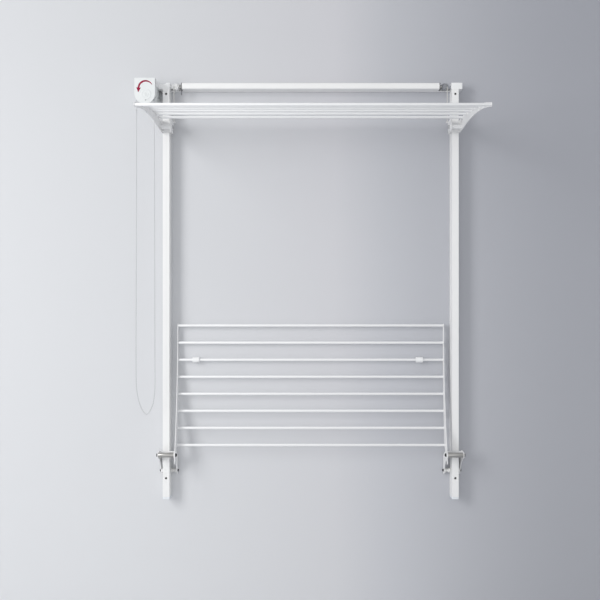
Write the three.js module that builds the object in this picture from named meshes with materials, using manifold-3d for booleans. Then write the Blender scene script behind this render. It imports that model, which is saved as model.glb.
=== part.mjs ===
// Wall mounted fold down drying rack, in millimetres, +Z up.
// The wall is the plane y = 0 and the rack stands out from it along -Y.
// The origin is the middle of the head beam's back face.
// "Reach" is a distance out from the wall, so y = -reach.

import * as THREE from 'three';
import { mergeVertices } from 'three/addons/utils/BufferGeometryUtils.js';
import Module from 'manifold-3d';

const wasm = await Module();
wasm.setup();

// ---------------------------------------------------------------- driving dimensions

const GAP = 0.3;                    // air between pieces that rest on each other
const RUNNING = 0.4;                // air round a shaft or pin that turns
const SIDES_OF_ROUND = 14;          // facets round pins, bolts, drums and bores

const RAIL_SPAN = 1041.6;           // between the middles of the two rails
const RAIL_WIDTH = 24;
const RAIL_DEPTH = 50;
const RAIL_LENGTH = 1470;
const RAIL_WALL = 1.6;
const GROOVE_REACH = 23;            // middle of the guide groove in each side of a rail
const GROOVE_WIDTH = 6;
const GROOVE_DEPTH = 4;
const CAP_HEIGHT = 8;

const HEAD_HEIGHT = 22.6;
const HEAD_DEPTH = 46;
const HEAD_OVERHANG = 25;           // from a rail's middle to the end of the beam
const CHANNEL_FLANGE = 15;
const SHEET = 1.6;                  // folded sheet of the beam and its cover
const BRACKET_LENGTH = 40;          // end bracket, over the top of a rail
const PLUG_LENGTH = 12;             // spigots that go into the ends of a rail
const FLARE_REACH = 96;             // where the left bracket's neck meets the gearbox
const SADDLE_RADIUS = 20;           // hollow across the top of the left bracket
const SADDLE_DEPTH = 5.8;
const SADDLE_IN = 25;               // its middle, from the bracket's inner end

const SHAFT_REACH = 28;
const SHAFT_RADIUS = 4;
const DRUM_CORE = 8;
const DRUM_FLANGE = 10.5;
const DRUM_LENGTH = 23;
const LIFT_CORD_RADIUS = 1.2;

const GEARBOX_ROOM = 2.65;          // between the worm's threads and the gearbox's side
const GEARBOX_STAND_OFF = 30.2;     // from the left rail's middle to the gearbox's side
const GEARBOX_TOP = 13.5;
const GEARBOX_SPLIT = 78;           // reach at which the cover meets the housing
const GEARBOX_REACH = 105;
const GEARBOX_WALL = 2.2;
const BOLTING_RIM = 3;              // how far and how thick the flange stands out at the wall

const WHEEL_TEETH = 12;
const WORM_STARTS = 3;
const TOOTH_PITCH = 5;
const TOOTH_HEIGHT = 1.2;           // above the pitch line
const WORM_DROP = 40;               // worm axis below the shaft axis
const WORM_FROM = 18;               // reach of the worm's back end
const WORM_TO = 38;
const JOURNAL_RADIUS = 5;
const CHAIN_REACH = 92;
const CHAIN_RADIUS = 31.2;          // chain's middle line round its wheel
const BEAD_RADIUS = 2.2;

const BAR_COUNT = 8;
const BAR_RADIUS = 4.75;
const BAR_WALL = 1;
const FIRST_BAR_OUT = 36;           // first bar, outwards from the pivot
const FIRST_BAR_UP = 26;            // first bar, above the pivot
const BAR_PITCH = 61;
const ARCH_RADIUS = 1650;           // the bars lie on a slight arch of this radius
const ARM_THICKNESS = 2;
const ARM_MARGIN = 6.5;             // arm's edge above the bars' middles
const ARM_ROOT_DEPTH = 40;          // arm's edge below the bars, at the pivot
const ARM_TIP_DEPTH = 6.5;
const ARM_BOSS = 13;
const TAIL_LENGTH = 33;
const TAIL_TOP = -2.7;
const TAIL_BOTTOM = -16;

const PIVOT_REACH = 85;
const PIN_RADIUS = 4;
const PLATE = 2.5;                  // pressed plates of carriages and lower brackets
const UPPER_PIVOT_Z = -156;
const CARRIAGE_INSIDE = 21.3;       // from the rail's middle to the inner plate
const CARRIAGE_OUTSIDE = 12.4;      // from the rail's middle to the outer plate
const OUTER_PLATE = 1.6;
const WEB_REACH = 53;
const CARRIAGE_DROP = 15;           // of the web in front of the rail, below the pivot
const CARRIAGE_RISE = 26;           // and above it
const HUB_RADIUS = 8;               // tube between the carriage's plates, round the pin
const HUB_STAND_OUT = 4;            // how far it passes the inner plate

const LOWER_PIVOT_RISE = 166;       // above the bottom of the rail
const FOLDED_TURN = 102;            // degrees from open to folded up
const LOWER_INSIDE = 33.7;          // from the rail's middle to the bracket's inner plate
const LOWER_OUTSIDE = 21.2;         // from the rail's middle to the bracket's outer plate
const AXLE_TUBE_RADIUS = 9;
const CROSS_BOLT_RADIUS = 3;
const CROSS_BOLT_REACH = 12;
const CROSS_BOLT_DROP = 68.5;       // below the lower pivot
const SPACER_RADIUS = 9;
const SPACER_WAIST = 6.5;

const SCREW_DROP = 18.5;            // upper wall screw, below the top of the rail
const SCREW_RISE = 76;              // lower wall screw, above the bottom of the rail
const SCREW_RADIUS = 2.4;
const SCREW_HEAD = 3.7;
const SCREW_LENGTH = 35;            // in the wall
const ACCESS_HOLE = 4.1;

const BUMPER_WIDTH = 25;
const BUMPER_RADIUS = 10;
const BUMPER_FOOT = 8;
const BUMPER_BAR = 6;               // counted from the pivot
const BUMPER_INSETS = { left: 65, right: 86 };    // from the arms to the bumpers' middles

// The endless bead chain's middle line: across and up from its wheel's axis.
const CHAIN_ROUTE = [
  [-0.4, 31.2], [-11.9, 28.8], [-22.1, 22.1], [-28.8, 11.9], [-31.2, 0],
  [-31.4, -60], [-32.6, -600], [-33.6, -960], [-32.9, -1020], [-30.2, -1058],
  [-23.7, -1090], [-13.4, -1118], [-3, -1134.5], [3, -1138.5], [10.5, -1134],
  [19.5, -1120], [27.5, -1098], [32, -1068], [33.8, -1027], [33.4, -960],
  [32.4, -600], [31.4, -60], [31.2, 0], [28.8, 11.9], [22.1, 22.1],
  [11.9, 28.8], [0.4, 31.2],
];
const STEPS_PER_STRETCH = 3;

// ---------------------------------------------------------------- worked out from them

const RAIL_X = RAIL_SPAN / 2;
const HALF_RAIL = RAIL_WIDTH / 2;
const HALF_HEAD = HEAD_HEIGHT / 2;
const HEAD_END = RAIL_X + HEAD_OVERHANG;
const RAIL_TOP = -HALF_HEAD - GAP;
const RAIL_BOTTOM = RAIL_TOP - RAIL_LENGTH;
const FOOT_Z = RAIL_BOTTOM - GAP - CAP_HEIGHT;
const LOWER_PIVOT_Z = FOOT_Z + LOWER_PIVOT_RISE;
const BRACKET_START = HEAD_END + 2 - BRACKET_LENGTH;
const DRUM_START = BRACKET_START - 9 - DRUM_LENGTH;
const CORD_X = DRUM_START + DRUM_LENGTH - 5;
const CORD_REACH = SHAFT_REACH + DRUM_CORE + LIFT_CORD_RADIUS + GAP;
const INNER_PLATE_X = RAIL_X - CARRIAGE_INSIDE;
const OUTER_PLATE_X = RAIL_X + CARRIAGE_OUTSIDE;
const UPPER_ARM_X = OUTER_PLATE_X + OUTER_PLATE + GAP;
const BRACKET_INNER_X = RAIL_X - LOWER_INSIDE;
const BRACKET_OUTER_X = RAIL_X + LOWER_OUTSIDE;
const LOWER_ARM_X = BRACKET_INNER_X - PLATE - 2 * GAP - ARM_THICKNESS;
const WHEEL_PITCH_RADIUS = WHEEL_TEETH * TOOTH_PITCH / (2 * Math.PI);
const WORM_PITCH_RADIUS = WORM_DROP - WHEEL_PITCH_RADIUS;
const TOOTH_ROOT = TOOTH_HEIGHT + 0.6;
const GEARBOX_HALF = WORM_PITCH_RADIUS + TOOTH_HEIGHT + GEARBOX_ROOM + GEARBOX_WALL;
const GEARBOX_X = -RAIL_X - GEARBOX_STAND_OFF - GEARBOX_HALF;
const GEARBOX_CURVE_DROP = WORM_DROP + 2;   // centre of the round bottom, below the shaft

// ---------------------------------------------------------------- finishes

const finishes = {
  whitePaint: { color: 0xf1f2f2, roughness: 0.42, metalness: 0 },
  whitePlastic: { color: 0xf4f5f5, roughness: 0.5, metalness: 0 },
  greyPlastic: { color: 0x5b5d62, roughness: 0.55, metalness: 0 },
  brushedSteel: { color: 0xb9b8b4, roughness: 0.35, metalness: 1 },
  darkSteel: { color: 0x4a4a4c, roughness: 0.4, metalness: 0.9 },
  nylon: { color: 0xdedcd4, roughness: 0.6, metalness: 0 },
  chainGrey: { color: 0xc8c9ca, roughness: 0.45, metalness: 0 },
};

const rack = new THREE.Group();
rack.name = 'drying_rack';

function add(name, geometry, finish) {
  const mesh = new THREE.Mesh(geometry, new THREE.MeshStandardMaterial(finishes[finish]));
  mesh.name = name;
  rack.add(mesh);
}

// ---------------------------------------------------------------- helpers for shapes

// A drawing in reach and height, given thickness across the width.
function acrossWidth(shape, xLow, xHigh, curveSegments = 8) {
  const geometry = new THREE.ExtrudeGeometry(shape, {
    depth: xHigh - xLow, bevelEnabled: false, curveSegments,
  });
  const turn = new THREE.Matrix4().makeBasis(
    new THREE.Vector3(0, -1, 0), new THREE.Vector3(0, 0, 1), new THREE.Vector3(-1, 0, 0));
  return geometry.applyMatrix4(turn.setPosition(xHigh, 0, 0));
}

// A plan drawing in x and reach, given height.
function upright(shape, zLow, zHigh, curveSegments = 8) {
  const geometry = new THREE.ExtrudeGeometry(shape, {
    depth: zHigh - zLow, bevelEnabled: false, curveSegments,
  });
  const turn = new THREE.Matrix4().makeBasis(
    new THREE.Vector3(1, 0, 0), new THREE.Vector3(0, -1, 0), new THREE.Vector3(0, 0, -1));
  return geometry.applyMatrix4(turn.setPosition(0, 0, zHigh));
}

// A front view drawing in x and height, given depth out from the wall.
function outwards(shape, reachLow, reachHigh, curveSegments = 12) {
  const geometry = new THREE.ExtrudeGeometry(shape, {
    depth: reachHigh - reachLow, bevelEnabled: false, curveSegments,
  });
  const turn = new THREE.Matrix4().makeBasis(
    new THREE.Vector3(1, 0, 0), new THREE.Vector3(0, 0, 1), new THREE.Vector3(0, -1, 0));
  return geometry.applyMatrix4(turn.setPosition(0, -reachLow, 0));
}

function block(xLow, xHigh, reachLow, reachHigh, zLow, zHigh) {
  const geometry = new THREE.BoxGeometry(xHigh - xLow, reachHigh - reachLow, zHigh - zLow);
  return geometry.translate((xLow + xHigh) / 2, -(reachLow + reachHigh) / 2, (zLow + zHigh) / 2);
}

function polygon(points) {
  return new THREE.Shape(points.map(([a, b]) => new THREE.Vector2(a, b)));
}

function circlePath(a, b, radius) {
  const path = new THREE.Path();
  path.absarc(a, b, radius, 0, 2 * Math.PI);
  return path;
}

function ringShape(a, b, outer, inner) {
  const shape = new THREE.Shape();
  shape.absarc(a, b, outer, 0, 2 * Math.PI);
  shape.holes.push(circlePath(a, b, inner));
  return shape;
}

// Makes every face point out of the solid.
function facedOut(geometry) {
  const solid = geometry.index ? geometry.toNonIndexed() : geometry;
  const at = solid.attributes.position;
  const [a, b, c] = [new THREE.Vector3(), new THREE.Vector3(), new THREE.Vector3()];
  let volume = 0;
  for (let i = 0; i < at.count; i += 3) {
    volume += a.fromBufferAttribute(at, i)
      .dot(b.fromBufferAttribute(at, i + 1).cross(c.fromBufferAttribute(at, i + 2)));
  }
  if (volume > 0) return solid;
  for (let i = 0; i < at.count; i += 3) {
    b.fromBufferAttribute(at, i + 1);
    c.fromBufferAttribute(at, i + 2);
    at.setXYZ(i + 1, c.x, c.y, c.z);
    at.setXYZ(i + 2, b.x, b.y, b.z);
  }
  solid.computeVertexNormals();
  return solid;
}

// A turned piece on an axis along X. Profile points are radius and x.
function turnedAlongX(profile, reach, z, sides = SIDES_OF_ROUND) {
  const points = profile.map(([radius, x]) => new THREE.Vector2(radius, x));
  const geometry = new THREE.LatheGeometry(points, sides);
  geometry.rotateZ(-Math.PI / 2);
  geometry.translate(0, -reach, z);
  return facedOut(geometry);
}

// A turned piece on an axis out of the wall. Profile points are radius and reach.
function turnedOutwards(profile, x, z, sides = SIDES_OF_ROUND) {
  const points = profile.map(([radius, reach]) => new THREE.Vector2(radius, -reach));
  const geometry = new THREE.LatheGeometry(points, sides);
  geometry.translate(x, 0, z);
  return facedOut(geometry);
}

function rodAlongX(radius, xLow, xHigh, reach, z, sides = SIDES_OF_ROUND) {
  return turnedAlongX([[0, xLow], [radius, xLow], [radius, xHigh], [0, xHigh]], reach, z, sides);
}

function rodOutwards(radius, reachLow, reachHigh, x, z, sides = SIDES_OF_ROUND) {
  return turnedOutwards([[0, reachLow], [radius, reachLow], [radius, reachHigh], [0, reachHigh]],
    x, z, sides);
}

// ---------------------------------------------------------------- joining and cutting

function toSolid(geometry) {
  const bare = geometry.clone();
  bare.deleteAttribute('normal');
  bare.deleteAttribute('uv');
  const merged = mergeVertices(bare, 1e-4);
  const triangles = [];
  const index = merged.index.array;
  for (let i = 0; i < index.length; i += 3) {
    const [a, b, c] = [index[i], index[i + 1], index[i + 2]];
    if (a !== b && b !== c && c !== a) triangles.push(a, b, c);
  }
  return new wasm.Manifold(new wasm.Mesh({
    numProp: 3,
    vertProperties: Float32Array.from(merged.attributes.position.array),
    triVerts: Uint32Array.from(triangles),
  }));
}

function toGeometry(solid) {
  const mesh = solid.getMesh();
  const geometry = new THREE.BufferGeometry();
  geometry.setAttribute('position', new THREE.BufferAttribute(mesh.vertProperties, 3));
  geometry.setIndex(new THREE.BufferAttribute(mesh.triVerts, 1));
  geometry.computeVertexNormals();
  return geometry;
}

function joined(geometries, cuts = []) {
  let solid = geometries.map(toSolid).reduce((sum, next) => sum.add(next));
  for (const cut of cuts) solid = solid.subtract(toSolid(cut));
  return toGeometry(solid);
}

// Every paired piece is drawn on the right and mirrored for the left.
function onSide(side, geometry) {
  if (side > 0) return geometry;
  return facedOut(geometry.clone().applyMatrix4(new THREE.Matrix4().makeScale(-1, 1, 1)));
}

const SIDES = [[1, 'right'], [-1, 'left']];

// ---------------------------------------------------------------- rails

function railOutline(inset) {
  const half = HALF_RAIL - inset;
  const floor = half - GROOVE_DEPTH;
  const low = GROOVE_REACH - GROOVE_WIDTH / 2 - inset;
  const high = GROOVE_REACH + GROOVE_WIDTH / 2 + inset;
  const front = RAIL_DEPTH - inset;
  const outer = [[half, inset], [half, low], [floor, low], [floor, high], [half, high],
    [half, front]];
  const inner = outer.map(([x, reach]) => [-x, reach]).reverse();
  return [...outer, ...inner].map(([x, reach]) => [RAIL_X + x, reach]);
}

const screwHeights = { top: RAIL_TOP - SCREW_DROP, bottom: FOOT_Z + SCREW_RISE };
const crossBoltZ = LOWER_PIVOT_Z - CROSS_BOLT_DROP;

function rail() {
  const shape = polygon(railOutline(0));
  shape.holes.push(polygon(railOutline(RAIL_WALL)));
  const cuts = [rodAlongX(CROSS_BOLT_RADIUS + GAP, RAIL_X - RAIL_WIDTH, RAIL_X + RAIL_WIDTH,
    CROSS_BOLT_REACH, crossBoltZ)];
  for (const z of Object.values(screwHeights)) {
    cuts.push(rodOutwards(ACCESS_HOLE, RAIL_DEPTH - 2 * RAIL_WALL, RAIL_DEPTH + 1, RAIL_X, z, 12));
    cuts.push(rodOutwards(SCREW_RADIUS + GAP, -1, 2 * RAIL_WALL, RAIL_X, z, 10));
  }
  return joined([upright(shape, RAIL_BOTTOM, RAIL_TOP)], cuts);
}

// The spigot that fills the front chamber of a rail.
function railPlug(zLow, zHigh) {
  const half = HALF_RAIL - RAIL_WALL - GAP;
  const back = GROOVE_REACH + GROOVE_WIDTH / 2 + RAIL_WALL + GAP;
  return block(RAIL_X - half, RAIL_X + half, back, RAIL_DEPTH - RAIL_WALL - GAP, zLow, zHigh);
}

function railCap() {
  const cap = block(RAIL_X - HALF_RAIL, RAIL_X + HALF_RAIL, 0, RAIL_DEPTH, FOOT_Z, FOOT_Z + CAP_HEIGHT);
  return joined([cap, railPlug(FOOT_Z + 1, RAIL_BOTTOM + PLUG_LENGTH)]);
}

// Pan head wood screw, driven through the back wall of the rail.
function wallScrew(z) {
  const seat = RAIL_WALL + GAP;
  return turnedOutwards([
    [0, -SCREW_LENGTH], [SCREW_RADIUS, -SCREW_LENGTH + 4], [SCREW_RADIUS, seat], [SCREW_HEAD, seat],
    [SCREW_HEAD, seat + 1.6], [SCREW_HEAD * 0.6, seat + 2.8], [0, seat + 3],
  ], RAIL_X, z, 10);
}

for (const [side, label] of SIDES) {
  add(`rail_${label}`, onSide(side, rail()), 'whitePaint');
  add(`rail_end_cap_${label}`, onSide(side, railCap()), 'whitePlastic');
  for (const [place, z] of Object.entries(screwHeights)) {
    add(`wall_screw_${place}_${label}`, onSide(side, wallScrew(z)), 'brushedSteel');
  }
}

// ---------------------------------------------------------------- head beam and its cover

function headChannel() {
  const inside = HALF_HEAD - SHEET;
  return polygon([
    [0, -HALF_HEAD], [CHANNEL_FLANGE, -HALF_HEAD], [CHANNEL_FLANGE, -inside], [SHEET, -inside],
    [SHEET, inside], [CHANNEL_FLANGE, inside], [CHANNEL_FLANGE, HALF_HEAD], [0, HALF_HEAD],
  ]);
}

// A C with rounded front corners, whose tongues slip inside the channel's flanges.
function headCoverShape() {
  const lipTop = HALF_HEAD - SHEET - GAP;
  const start = CHANNEL_FLANGE + GAP;
  const corner = 5;
  const shape = new THREE.Shape();
  shape.moveTo(start, HALF_HEAD);
  shape.lineTo(start, lipTop);
  shape.lineTo(start - 9, lipTop);
  shape.lineTo(start - 9, lipTop - SHEET);
  shape.lineTo(start + SHEET, lipTop - SHEET);
  shape.lineTo(start + SHEET, HALF_HEAD - SHEET);
  shape.absarc(HEAD_DEPTH - corner, HALF_HEAD - corner, corner - SHEET, Math.PI / 2, 0, true);
  shape.absarc(HEAD_DEPTH - corner, corner - HALF_HEAD, corner - SHEET, 0, -Math.PI / 2, true);
  shape.lineTo(start + SHEET, SHEET - HALF_HEAD);
  shape.lineTo(start + SHEET, SHEET - lipTop);
  shape.lineTo(start - 9, SHEET - lipTop);
  shape.lineTo(start - 9, -lipTop);
  shape.lineTo(start, -lipTop);
  shape.lineTo(start, -HALF_HEAD);
  shape.absarc(HEAD_DEPTH - corner, corner - HALF_HEAD, corner, -Math.PI / 2, 0);
  shape.absarc(HEAD_DEPTH - corner, HALF_HEAD - corner, corner, 0, Math.PI / 2);
  return shape;
}

add('head_beam', acrossWidth(headChannel(), -HEAD_END, HEAD_END), 'whitePaint');
const coverEnd = DRUM_START - 11;
add('head_cover', acrossWidth(headCoverShape(), -coverEnd, coverEnd, 5), 'whitePaint');

// End bracket: a block over the top of the rail, a tongue in the channel, a spigot in the rail
// and the shaft's bearing. The left one has a neck that flares out to the gearbox.
function headBracket(flared) {
  const start = CHANNEL_FLANGE + GAP;
  const end = BRACKET_START + BRACKET_LENGTH;
  const plan = new THREE.Shape();
  plan.moveTo(BRACKET_START, start);
  plan.lineTo(BRACKET_START, HEAD_DEPTH - 1);
  plan.lineTo(BRACKET_START + 1, HEAD_DEPTH);
  if (flared) {
    const neckEnd = -GEARBOX_X - GEARBOX_HALF - 2 * GAP;
    plan.lineTo(neckEnd - 4.5, HEAD_DEPTH);
    plan.quadraticCurveTo(neckEnd - 1, HEAD_DEPTH + 4, neckEnd, FLARE_REACH);
    plan.lineTo(neckEnd, start);
  } else {
    plan.lineTo(end - 4, HEAD_DEPTH);
    plan.absarc(end - 4, HEAD_DEPTH - 4, 4, Math.PI / 2, 0, true);
    plan.lineTo(end, start);
  }
  const tongue = HALF_HEAD - SHEET - GAP;
  const pieces = [
    upright(plan, -HALF_HEAD, HALF_HEAD, 6),
    block(BRACKET_START, HEAD_END, SHEET + GAP, start + 1, -tongue, tongue),
    railPlug(RAIL_TOP - PLUG_LENGTH, -HALF_HEAD + 1),
  ];
  const boreEnd = flared ? end + 20 : end - 3;
  const bore = rodAlongX(SHAFT_RADIUS + RUNNING, BRACKET_START - 1, boreEnd, SHAFT_REACH, 0);
  const saddle = rodOutwards(SADDLE_RADIUS, start, FLARE_REACH, BRACKET_START + SADDLE_IN,
    HALF_HEAD - SADDLE_DEPTH + SADDLE_RADIUS, 40);
  return joined(pieces, flared ? [bore, saddle] : [bore]);
}

for (const [side, label] of SIDES) {
  add(`head_bracket_${label}`, onSide(side, headBracket(side < 0)), 'whitePlastic');
}

// ---------------------------------------------------------------- shaft, drums and lift cords

const shaftLeft = GEARBOX_X - GEARBOX_HALF + GEARBOX_WALL + 5.5;
const shaftRight = BRACKET_START + BRACKET_LENGTH - 4;
add('drive_shaft', rodAlongX(SHAFT_RADIUS, shaftLeft, shaftRight, SHAFT_REACH, 0), 'brushedSteel');

function cordDrum() {
  const bore = SHAFT_RADIUS + GAP;
  const end = DRUM_START + DRUM_LENGTH;
  const cone = BRACKET_START - 2 * GAP;
  return turnedAlongX([
    [bore, DRUM_START], [DRUM_FLANGE, DRUM_START], [DRUM_FLANGE, DRUM_START + 1.5],
    [DRUM_CORE, DRUM_START + 1.5], [DRUM_CORE, end - 1.5], [DRUM_FLANGE, end - 1.5],
    [DRUM_FLANGE, end], [DRUM_CORE, end + 0.5], [bore + 1, cone], [bore, cone], [bore, DRUM_START],
  ], SHAFT_REACH, 0);
}

const lugTop = UPPER_PIVOT_Z + 27;
const liftCord = new THREE.CylinderGeometry(
  LIFT_CORD_RADIUS, LIFT_CORD_RADIUS, -lugTop - GAP, 8);
liftCord.rotateX(Math.PI / 2);
liftCord.translate(CORD_X, -CORD_REACH, (lugTop + GAP) / 2);

for (const [side, label] of SIDES) {
  add(`cord_drum_${label}`, onSide(side, cordDrum()), side < 0 ? 'whitePlastic' : 'greyPlastic');
  add(`lift_cord_${label}`, onSide(side, liftCord), 'nylon');
}

// ---------------------------------------------------------------- gearbox

// Flat top, straight sides and a round bottom.
function gearboxOutline(grow, growTop = grow) {
  const half = GEARBOX_HALF + grow;
  const shape = new THREE.Shape();
  shape.moveTo(GEARBOX_X + half, GEARBOX_TOP + growTop);
  shape.lineTo(GEARBOX_X - half, GEARBOX_TOP + growTop);
  shape.absarc(GEARBOX_X, -GEARBOX_CURVE_DROP, half, Math.PI, 2 * Math.PI);
  return shape;
}

function gearboxHousing() {
  const floor = BOLTING_RIM + GEARBOX_WALL;
  const wallX = GEARBOX_X - GEARBOX_HALF;
  const shell = joined([
    outwards(gearboxOutline(0), 1, GEARBOX_SPLIT),
    outwards(gearboxOutline(BOLTING_RIM, 0), 0, BOLTING_RIM),
  ], [outwards(gearboxOutline(-GEARBOX_WALL), floor, GEARBOX_SPLIT + 1)]);
  return joined([
    shell,
    rodAlongX(SHAFT_RADIUS * 2, wallX + 1, shaftLeft + 4, SHAFT_REACH, 0),
    rodOutwards(JOURNAL_RADIUS + 4, floor - 1, floor + 9, GEARBOX_X, -WORM_DROP),
  ], [
    rodAlongX(SHAFT_RADIUS + RUNNING, shaftLeft - GAP, shaftLeft + 9, SHAFT_REACH, 0),
    rodAlongX(SHAFT_RADIUS + RUNNING, GEARBOX_X + GEARBOX_HALF - 10,
      GEARBOX_X + GEARBOX_HALF + 10, SHAFT_REACH, 0),
    rodOutwards(JOURNAL_RADIUS + RUNNING, floor + 2, floor + 12, GEARBOX_X, -WORM_DROP),
  ]);
}

function gearboxCover() {
  const front = GEARBOX_REACH - GEARBOX_WALL;
  const slots = [-1, 1].map((side) => {
    const middle = GEARBOX_X + side * (CHAIN_RADIUS + GAP);
    const half = BEAD_RADIUS + 1.7;
    return block(middle - half, middle + half, CHAIN_REACH - 3.6, CHAIN_REACH + 3.6,
      -GEARBOX_CURVE_DROP - 2 * GEARBOX_HALF, -GEARBOX_CURVE_DROP - 6);
  });
  const shell = joined([outwards(gearboxOutline(0), GEARBOX_SPLIT + GAP, GEARBOX_REACH)],
    [outwards(gearboxOutline(-GEARBOX_WALL), GEARBOX_SPLIT - 1, front), ...slots]);
  return joined([shell, rodOutwards(JOURNAL_RADIUS + 4, front - 4, front + 1, GEARBOX_X, -WORM_DROP)],
    [rodOutwards(JOURNAL_RADIUS + RUNNING, front - 5, front, GEARBOX_X, -WORM_DROP)]);
}

add('gearbox_housing', gearboxHousing(), 'whitePlastic');
add('gearbox_cover', gearboxCover(), 'whitePlastic');

// Straight toothed wheel on the shaft, with one tooth pointing down at the worm.
function wormWheel() {
  const root = WHEEL_PITCH_RADIUS - TOOTH_ROOT;
  const tip = WHEEL_PITCH_RADIUS + TOOTH_HEIGHT;
  const points = [];
  for (let tooth = 0; tooth < WHEEL_TEETH; tooth += 1) {
    const middle = -Math.PI / 2 + tooth * 2 * Math.PI / WHEEL_TEETH;
    const corners = [[root, -1.3], [tip, -0.6], [tip, 0.6], [root, 1.3]];
    for (const [radius, along] of corners) {
      const angle = middle + along / radius;
      points.push([SHAFT_REACH + radius * Math.cos(angle), radius * Math.sin(angle)]);
    }
  }
  const shape = polygon(points);
  shape.holes.push(circlePath(SHAFT_REACH, 0, SHAFT_RADIUS + GAP));
  return acrossWidth(shape, GEARBOX_X - 3, GEARBOX_X + 3, 10);
}

// One thread of the worm: a ridge that winds round the axis with a trapezoid section.
function wormThread(start) {
  const lead = WORM_STARTS * TOOTH_PITCH;
  const foot = WORM_PITCH_RADIUS - TOOTH_ROOT - 0.4;
  const tip = WORM_PITCH_RADIUS + TOOTH_HEIGHT;
  const section = [[foot, -1.1], [foot, 1.1], [tip, 0.5], [tip, -0.5]];
  const from = WORM_FROM + 1.2;
  const to = WORM_TO - 1.2;
  const steps = Math.ceil(16 * (to - from) / lead);
  const anchor = SHAFT_REACH + TOOTH_PITCH / 2;
  const positions = [];
  const triangles = [];
  for (let step = 0; step <= steps; step += 1) {
    const reach = from + (to - from) * step / steps;
    const angle = start + 2 * Math.PI * (reach - anchor) / lead;
    for (const [radius, along] of section) {
      positions.push(GEARBOX_X + radius * Math.sin(angle), -(reach + along),
        -WORM_DROP + radius * Math.cos(angle));
    }
  }
  for (let step = 0; step < steps; step += 1) {
    for (let corner = 0; corner < 4; corner += 1) {
      const a = step * 4 + corner;
      const b = step * 4 + (corner + 1) % 4;
      triangles.push(a, b, a + 4, b, b + 4, a + 4);
    }
  }
  const last = steps * 4;
  triangles.push(0, 2, 1, 0, 3, 2, last, last + 1, last + 2, last, last + 2, last + 3);
  const geometry = new THREE.BufferGeometry();
  geometry.setAttribute('position', new THREE.Float32BufferAttribute(positions, 3));
  geometry.setIndex(triangles);
  return facedOut(geometry);
}

// Chain wheel, hub, worm and both journals, moulded in one.
function chainWheel() {
  const journal = JOURNAL_RADIUS;
  const back = BOLTING_RIM + GEARBOX_WALL + 2 + GAP;
  const front = GEARBOX_REACH - GEARBOX_WALL - GAP;
  const root = WORM_PITCH_RADIUS - TOOTH_ROOT;
  const groove = CHAIN_RADIUS - BEAD_RADIUS - 2 * GAP;
  const rim = CHAIN_RADIUS - GAP;
  const body = turnedOutwards([
    [0, back], [journal, back], [journal, WORM_FROM - 2], [8, WORM_FROM - 2], [8, WORM_TO - 3],
    [root - 3.5, WORM_TO - 3], [root - 3.5, WORM_FROM], [root, WORM_FROM], [root, WORM_TO],
    [8, WORM_TO], [8, CHAIN_REACH - 2], [24, CHAIN_REACH - 2], [24, CHAIN_REACH - 6],
    [rim, CHAIN_REACH - 6], [rim, CHAIN_REACH - 3.4], [groove, CHAIN_REACH - 2.6],
    [groove, CHAIN_REACH + 2.6], [rim, CHAIN_REACH + 3.4], [rim, CHAIN_REACH + 6],
    [24, CHAIN_REACH + 6], [24, CHAIN_REACH + 2], [8, CHAIN_REACH + 2],
    [journal, CHAIN_REACH + 4], [journal, front], [0, front],
  ], GEARBOX_X, -WORM_DROP, 22);
  const threads = [];
  for (let start = 0; start < WORM_STARTS; start += 1) {
    threads.push(wormThread(start * 2 * Math.PI / WORM_STARTS));
  }
  return joined([body, ...threads]);
}

add('worm_wheel', wormWheel(), 'greyPlastic');
add('chain_wheel', chainWheel(), 'greyPlastic');

// The route's steps are shared out evenly between its points, so that bends get the most.
class BeadRoute extends THREE.CatmullRomCurve3 {
  getUtoTmapping(share) {
    return share;
  }
}

function beadChain() {
  const points = CHAIN_ROUTE.map(([across, up]) =>
    new THREE.Vector3(GEARBOX_X + across, -CHAIN_REACH, -WORM_DROP + up));
  const section = [];
  for (let corner = 0; corner < 8; corner += 1) {
    const angle = corner * Math.PI / 4;
    section.push([BEAD_RADIUS * Math.cos(angle), BEAD_RADIUS * Math.sin(angle)]);
  }
  return facedOut(new THREE.ExtrudeGeometry(polygon(section), {
    steps: (CHAIN_ROUTE.length - 1) * STEPS_PER_STRETCH,
    bevelEnabled: false,
    extrudePath: new BeadRoute(points),
  }));
}

add('bead_chain', beadChain(), 'chainGrey');

// ---------------------------------------------------------------- the two racks of bars

// Bar middles from the pivot, for an open rack: outwards and up.
function barPlace(number) {
  const out = FIRST_BAR_OUT + (number - 1) * BAR_PITCH;
  return [out, barLine(out)];
}

function barLine(out) {
  return FIRST_BAR_UP - (out - FIRST_BAR_OUT) ** 2 / (2 * ARCH_RADIUS);
}

function armLowerEdge(out, length) {
  const share = Math.max(0, 1 - out / length);
  return barLine(out) - ARM_TIP_DEPTH - (ARM_ROOT_DEPTH - ARM_TIP_DEPTH) * share ** 1.3;
}

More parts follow.
